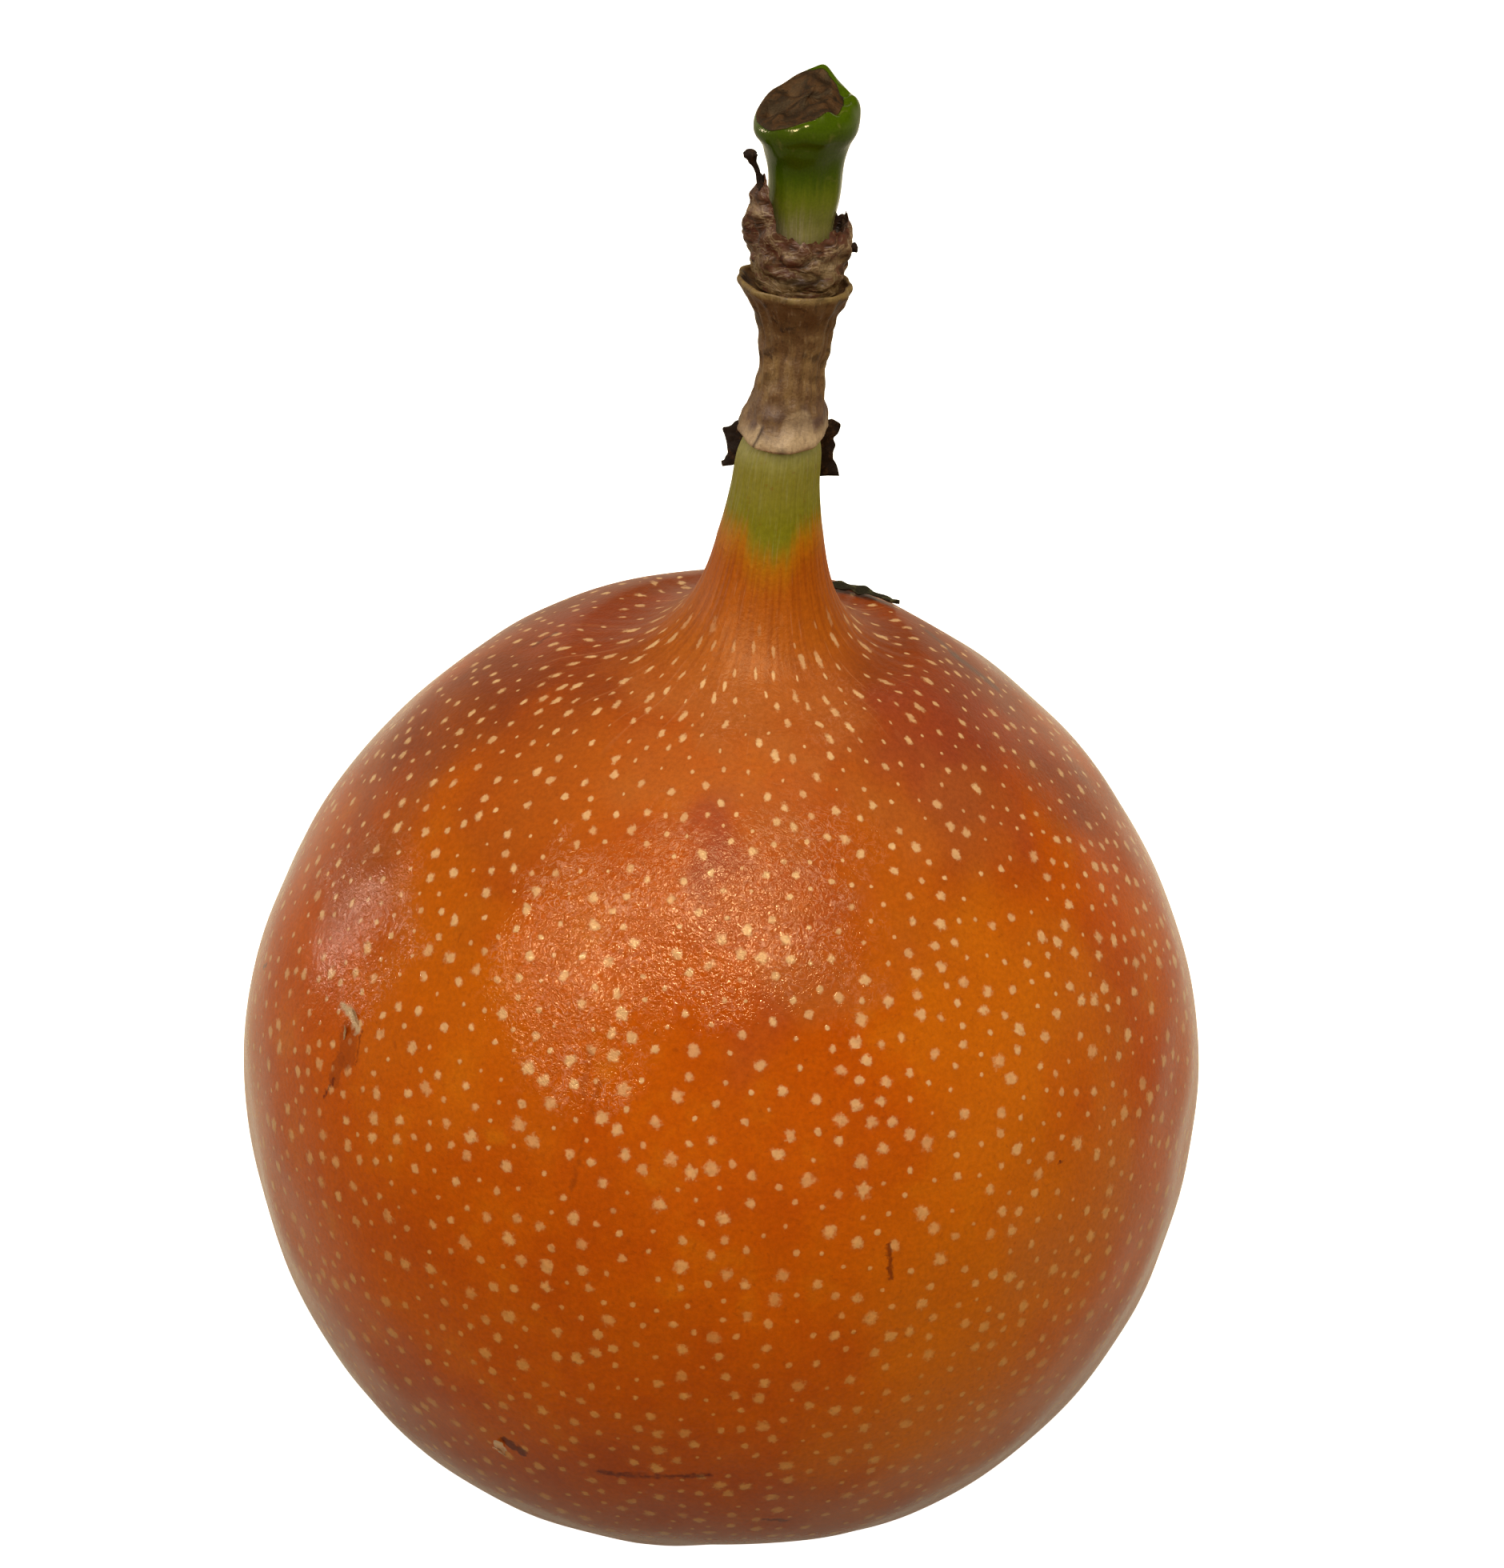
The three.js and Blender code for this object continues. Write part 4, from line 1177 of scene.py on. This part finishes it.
def stem_material():
    g = Finish("green_stem")
    outward = g.outward()
    line = g.streaks(outward, 7.0, 0.25, 3.0)
    fine_line = g.streaks(outward, 18.0, 0.5)
    patch = g.noise(g.place, 0.9, 3.0, 0.6)
    grain = g.noise(g.place, 6.0, 3.0, 0.6)
    uneven = g.z + line * 2.4
    left = g.smooth(g.split(outward)[0], 0.5, -0.3, 0.25, 1.0)
    low = g.smooth(uneven, SHEATH_RIM + 3.1, SHEATH_RIM + 0.7) * left
    low = low * g.smooth(fine_line, 0.4, 0.6, 0.3, 0.9)
    wood = g.coats(
        g.mix(g.smooth(patch, 0.4, 0.6), CUT_BROWN, CUT_TAN),
        (g.smooth(g.noise(g.place, 0.9, 3.0, 0.6, 0.8), 0.48, 0.66, 0.0, 0.8), CUT_DARK),
    )
    cut = g.smooth(g.field("cut") + (grain - 0.5) * 0.5, 0.35, 0.65)
    colour = g.coats(
        g.mix(g.smooth(uneven, SHEATH_RIM + 0.6, SHEATH_RIM + 3.7), STEM_OLIVE, STEM_GREEN),
        (g.smooth(uneven, SHEATH_RIM + 2.7, SHEATH_RIM + 5.1), STEM_DEEP),
        (low, STEM_TAN),
        (g.smooth(patch, 0.6, 0.75, 0.0, 0.4), STEM_OLIVE),
        (cut, wood),
    )
    colour = g.shaded(colour, grain, 0.85, 1.1)
    height = grain * (cut * 0.4 + 0.05) + fine_line * 0.12 + patch * cut
    roughness = cut * 0.5 + 0.16 + low * 0.2
    return g.surface(colour, roughness, height, 0.12, Specular_IOR_Level=0.1, Specular_Tint=STEM_TINT)


# ---- dried remains ----
FLAP_THICKNESS = 0.6
FLAP_CURL = 0.15
LEFT_FLAP_ANGLE = 2.62
RIGHT_FLAP_ANGLE = 0.5
FLAP_ROWS = 56
FLAP_COLUMNS = 24


def resampled(points, count):
    fine = through(points, 0.02)
    return fine[np.round(np.linspace(0, len(fine) - 1, count)).astype(int)]


def make_flap(name, inner_edge, outer_edge, angle, material, seed):
    """A shrivelled wing between two edges, each a list of (radius, height) from the top down."""
    inner = resampled(inner_edge, FLAP_ROWS)
    outer = resampled(outer_edge, FLAP_ROWS)
    share = 0.5 - 0.5 * np.cos(np.linspace(0, math.pi, FLAP_COLUMNS))
    flat = inner[:, None, :] + (outer - inner)[:, None, :] * share[None, :, None]
    torn = 0.06 * ripple(outer, 0.9, seed) * (1 - bump(np.linspace(-1, 1, FLAP_ROWS), 0.9))
    flat[..., 0] += torn[:, None] * share[None, :] ** 2
    place = np.concatenate((flat, 0 * flat[..., :1]), axis=2)
    waver = 0.12 * ripple(place, 1.7, seed + 1) * share[None, :]
    ends = np.sin(np.linspace(0, math.pi, FLAP_ROWS)) ** 0.25
    rounded = np.sqrt(np.clip(1 - (2 * share[None, :] - 1) ** 4, 0, 1))
    half = (FLAP_THICKNESS / 2 - 0.14) * rounded * ends[:, None]
    half = half * (1 + 0.25 * ripple(place, 0.8, seed + 2))
    curl = FLAP_CURL * (flat[..., 0] - COLLAR_RADIUS) ** 2 + waver
    sides = []
    for sign in (-1, 1):
        side = curl + sign * half
        x = flat[..., 0] * math.cos(angle) + side * math.sin(angle) + axis_shift(flat[..., 1])
        y = flat[..., 0] * math.sin(angle) - side * math.cos(angle)
        sides.append(np.stack((x, y, flat[..., 1]), axis=2))
    loops = np.concatenate((sides[0], sides[1][:, -2:0:-1]), axis=1)
    return capped_skin(name, loops, material)


def make_flaps(material):
    left_inner = (
        (2.9, 86.9), (2.85, 86.4), (2.8, 86), (2.8, 84.6),
        (2.85, 83.9), (3.3, 83.5), (3.8, 83.3), (4.25, 83.1),
    )
    left_outer = (
        (3.3, 86.8), (4.1, 86.1), (4.66, 85.76), (4.36, 85.3),
        (4.05, 84.7), (3.9, 84.2), (4.2, 83.7), (4.5, 83.4),
    )
    right_inner = (
        (2.9, 86.75), (2.85, 86.2), (2.8, 85.2), (2.85, 84.2), (2.95, 83.4), (3.1, 82.9), (3.3, 82.66),
    )
    right_outer = (
        (3.8, 86.75), (4.47, 86.3), (4.42, 85.7), (4.14, 85.35),
        (4.34, 84.8), (4.22, 84.2), (4.5, 83.5), (4.76, 82.62),
    )
    left = make_flap("flower_remains_left", left_inner, left_outer, LEFT_FLAP_ANGLE, material, 61)
    right = make_flap("flower_remains_right", right_inner, right_outer, RIGHT_FLAP_ANGLE, material, 71)
    finish_piece(left, "dried_flower", "flower_flap_left")
    finish_piece(right, "dried_flower", "flower_flap_right")


SCRAP_LENGTH = 5.8
SCRAP_WIDTH = 1.7
SCRAP_X = 10.3
SCRAP_Y = 8.3
SCRAP_TURN = -0.35
SCRAP_CURL = 0.012
SCRAP_ROWS = 72
SCRAP_COLUMNS = 24


def rind_height(x, y):
    """The rind's height above places on the shoulder."""
    near = (RIND_GRID[..., 2] > 60) & (np.hypot(RIND_GRID[..., 0] - SCRAP_X, RIND_GRID[..., 1] - SCRAP_Y) < 8)
    known = RIND_GRID[near]
    off = (known[None, :, 0] - x.ravel()[:, None]) ** 2 + (known[None, :, 1] - y.ravel()[:, None]) ** 2
    nearest = np.argpartition(off, 4, axis=1)[:, :4]
    weight = 1 / (np.take_along_axis(off, nearest, axis=1) + 1e-4)
    heights = (known[nearest, 2] * weight).sum(axis=1) / weight.sum(axis=1)
    return heights.reshape(x.shape)


def make_scrap(material):
    """The withered blade on the shoulder."""
    along = np.linspace(-SCRAP_LENGTH / 2, SCRAP_LENGTH / 2, SCRAP_ROWS)
    width = 0.8 * SCRAP_WIDTH * 0.5 * np.sqrt(np.clip(1 - (2 * along / SCRAP_LENGTH) ** 2, 0, 1))
    width = width * (0.8 + 0.16 * np.sin(3.1 * along + 0.5)) + 0.04
    turn = np.linspace(0, 2 * math.pi, SCRAP_COLUMNS, endpoint=False)
    across = width[:, None] * np.cos(turn)[None, :]
    along = along[:, None] + 0 * across
    x = SCRAP_X + along * math.cos(SCRAP_TURN) - across * math.sin(SCRAP_TURN)
    y = SCRAP_Y + along * math.sin(SCRAP_TURN) + across * math.cos(SCRAP_TURN)
    flat = np.stack((along, across, 0 * along), axis=2)
    thickness = 0.16 * (1 + 0.3 * ripple(flat, 1.1, 82))
    z = rind_height(x, y) + GAP + 0.1 + SCRAP_CURL * along * along + thickness * np.sin(turn)[None, :]
    z = z + 0.07 * ripple(flat, 1.3, 81)
    piece = capped_skin("withered_blade", np.stack((x, y, z), axis=2), material)
    return finish_piece(piece, "dry_scrap", "shoulder_scrap")


FLAP_DARK = srgb(40, 24, 10)
FLAP_BROWN = srgb(92, 60, 30)
FLAKE_TAN = srgb(206, 150, 96)
FLAKE_PALE = srgb(240, 214, 180)
SCRAP_DARK = srgb(52, 46, 26)
SCRAP_OLIVE = srgb(108, 100, 58)


def withered_material(name, dark, light):
    g = Finish(name)
    patch = g.noise(g.place, 1.3, 3.0, 0.6)
    grain = g.noise(g.place, 6.0, 3.0, 0.65)
    colour = g.shaded(g.mix(g.smooth(patch, 0.5, 0.75), dark, light), grain, 0.65, 1.25)
    height = patch * 0.7 + grain * 0.6
    return g.surface(colour, grain * 0.25 + 0.6, height, 0.15, Specular_IOR_Level=0.04)


# ---- stage ----
FLOOR_HALF = 2.0  # in metres
FLOOR_SEEN = (1.0, 0.88, 0.62, 1)
FLOOR_BOUNCE = (0.02, 0.02, 0.02, 1)
FLOOR_ROUGHNESS = 0.9
LIGHT_FROM = (0.0, -0.42, 0.907)
WORLD_LIGHT = (0.0, 1.43)  # level with the fruit and from that side
MIRRORED_TINT = (1.0, 0.85, 0.62, 1)
WORLD_MIRRORED = (1.2, 0.0)  # at the horizon and overhead
WARM = (1.0, 0.84, 0.72)
LAMP_DISTANCE = 600

# Lamps that only mirror in the skin: the pixel of the photograph where each shows, its size and its power.
Glint = namedtuple("Glint", "name pixel width depth power")
GLINTS = (
    Glint("glint_front", (905, 1138), 92, 50, 14.0),
    Glint("glint_left", (712, 1215), 90, 120, 8.6),
    Glint("glint_side", (438, 1165), 70, 130, 2.2),
)


def plain_floor():
    """A pale floor that throws little light back up at the fruit."""
    mesh = bpy.data.meshes.new("floor")
    corners = [(x * FLOOR_HALF, y * FLOOR_HALF, 0) for x, y in ((-1, -1), (1, -1), (1, 1), (-1, 1))]
    mesh.from_pydata(corners, [], [(0, 1, 2, 3)])
    g = Graph(bpy.data.materials.new("floor"))
    sockets = g.nodes["Principled BSDF"].inputs
    g.put(sockets["Roughness"], FLOOR_ROUGHNESS)
    g.put(sockets["Specular IOR Level"], 0.0)
    g.put(sockets["Base Color"], g.mix(g.ray("Is Diffuse Ray"), FLOOR_SEEN, FLOOR_BOUNCE))
    g.put(sockets["Emission Color"], WHITE)
    g.put(sockets["Emission Strength"], g.ray("Is Camera Ray"))
    mesh.materials.append(g.owner)
    linked("floor", mesh)


def plain_world():
    """A white studio, bright for what it lights; its upper half is dark in reflections."""
    world = bpy.data.worlds.new("studio")
    bpy.context.scene.world = world
    g = Graph(world)
    way = g.node("ShaderNodeTexCoord", "Generated")
    lit = g.smooth(g.dot(way, LIGHT_FROM), -0.08, 1.0, *WORLD_LIGHT, "LINEAR")
    mirrored = g.smooth(g.dot(way, (0, 0, 1)), 0.1, 0.5, *WORLD_MIRRORED, "LINEAR")
    glossy = g.ray("Is Glossy Ray")
    strength = g.blend(g.ray("Is Camera Ray"), g.blend(glossy, lit, mirrored), 1.0)
    background = g.nodes["Background"].inputs
    g.put(background["Color"], g.mix(glossy, WHITE, MIRRORED_TINT))
    g.put(background["Strength"], strength)


def place_lamp(glint):
    """A warm lamp whose reflection in the rind shows at the glint's pixel."""
    point, normal = on_rind(glint.pixel)
    view = CAMERA_PLACE - point
    view = view / np.linalg.norm(view)
    place = Vector(point + (2 * np.dot(normal, view) * normal - view) * LAMP_DISTANCE)
    lamp = bpy.data.lights.new(glint.name, "AREA")
    lamp.shape = "RECTANGLE"
    lamp.size = glint.width * MM
    lamp.size_y = glint.depth * MM
    lamp.energy = glint.power
    lamp.color = WARM
    holder = linked(glint.name, lamp)
    holder.visible_diffuse = False
    holder.location = place * MM
    holder.rotation_euler = (place - Vector(point)).to_track_quat("Z", "Y").to_euler()


def light_stage():
    plain_world()
    for glint in GLINTS:
        place_lamp(glint)
    settings = bpy.context.scene.view_settings
    settings.view_transform = "Standard"
    settings.look = "None"


# ---- the whole object ----
place_camera()
make_rind(skin_material("rind_skin", True))
flake_skin = withered_material("flake_skin", FLAKE_TAN, FLAKE_PALE)
for loose in FLAKES:
    make_flake(loose, flake_skin)
make_green_stalk(skin_material("green_stalk_skin", False))
make_dry_stalk(bark_material())
make_sheath(sheath_material())
withered = withered_material("withered_brown", FLAP_DARK, FLAP_BROWN)
make_sheath_thread(withered)
make_sheath_stub(withered)
make_stem(stem_material())
make_flaps(withered)
make_scrap(withered_material("withered_olive", SCRAP_DARK, SCRAP_OLIVE))
plain_floor()
light_stage()
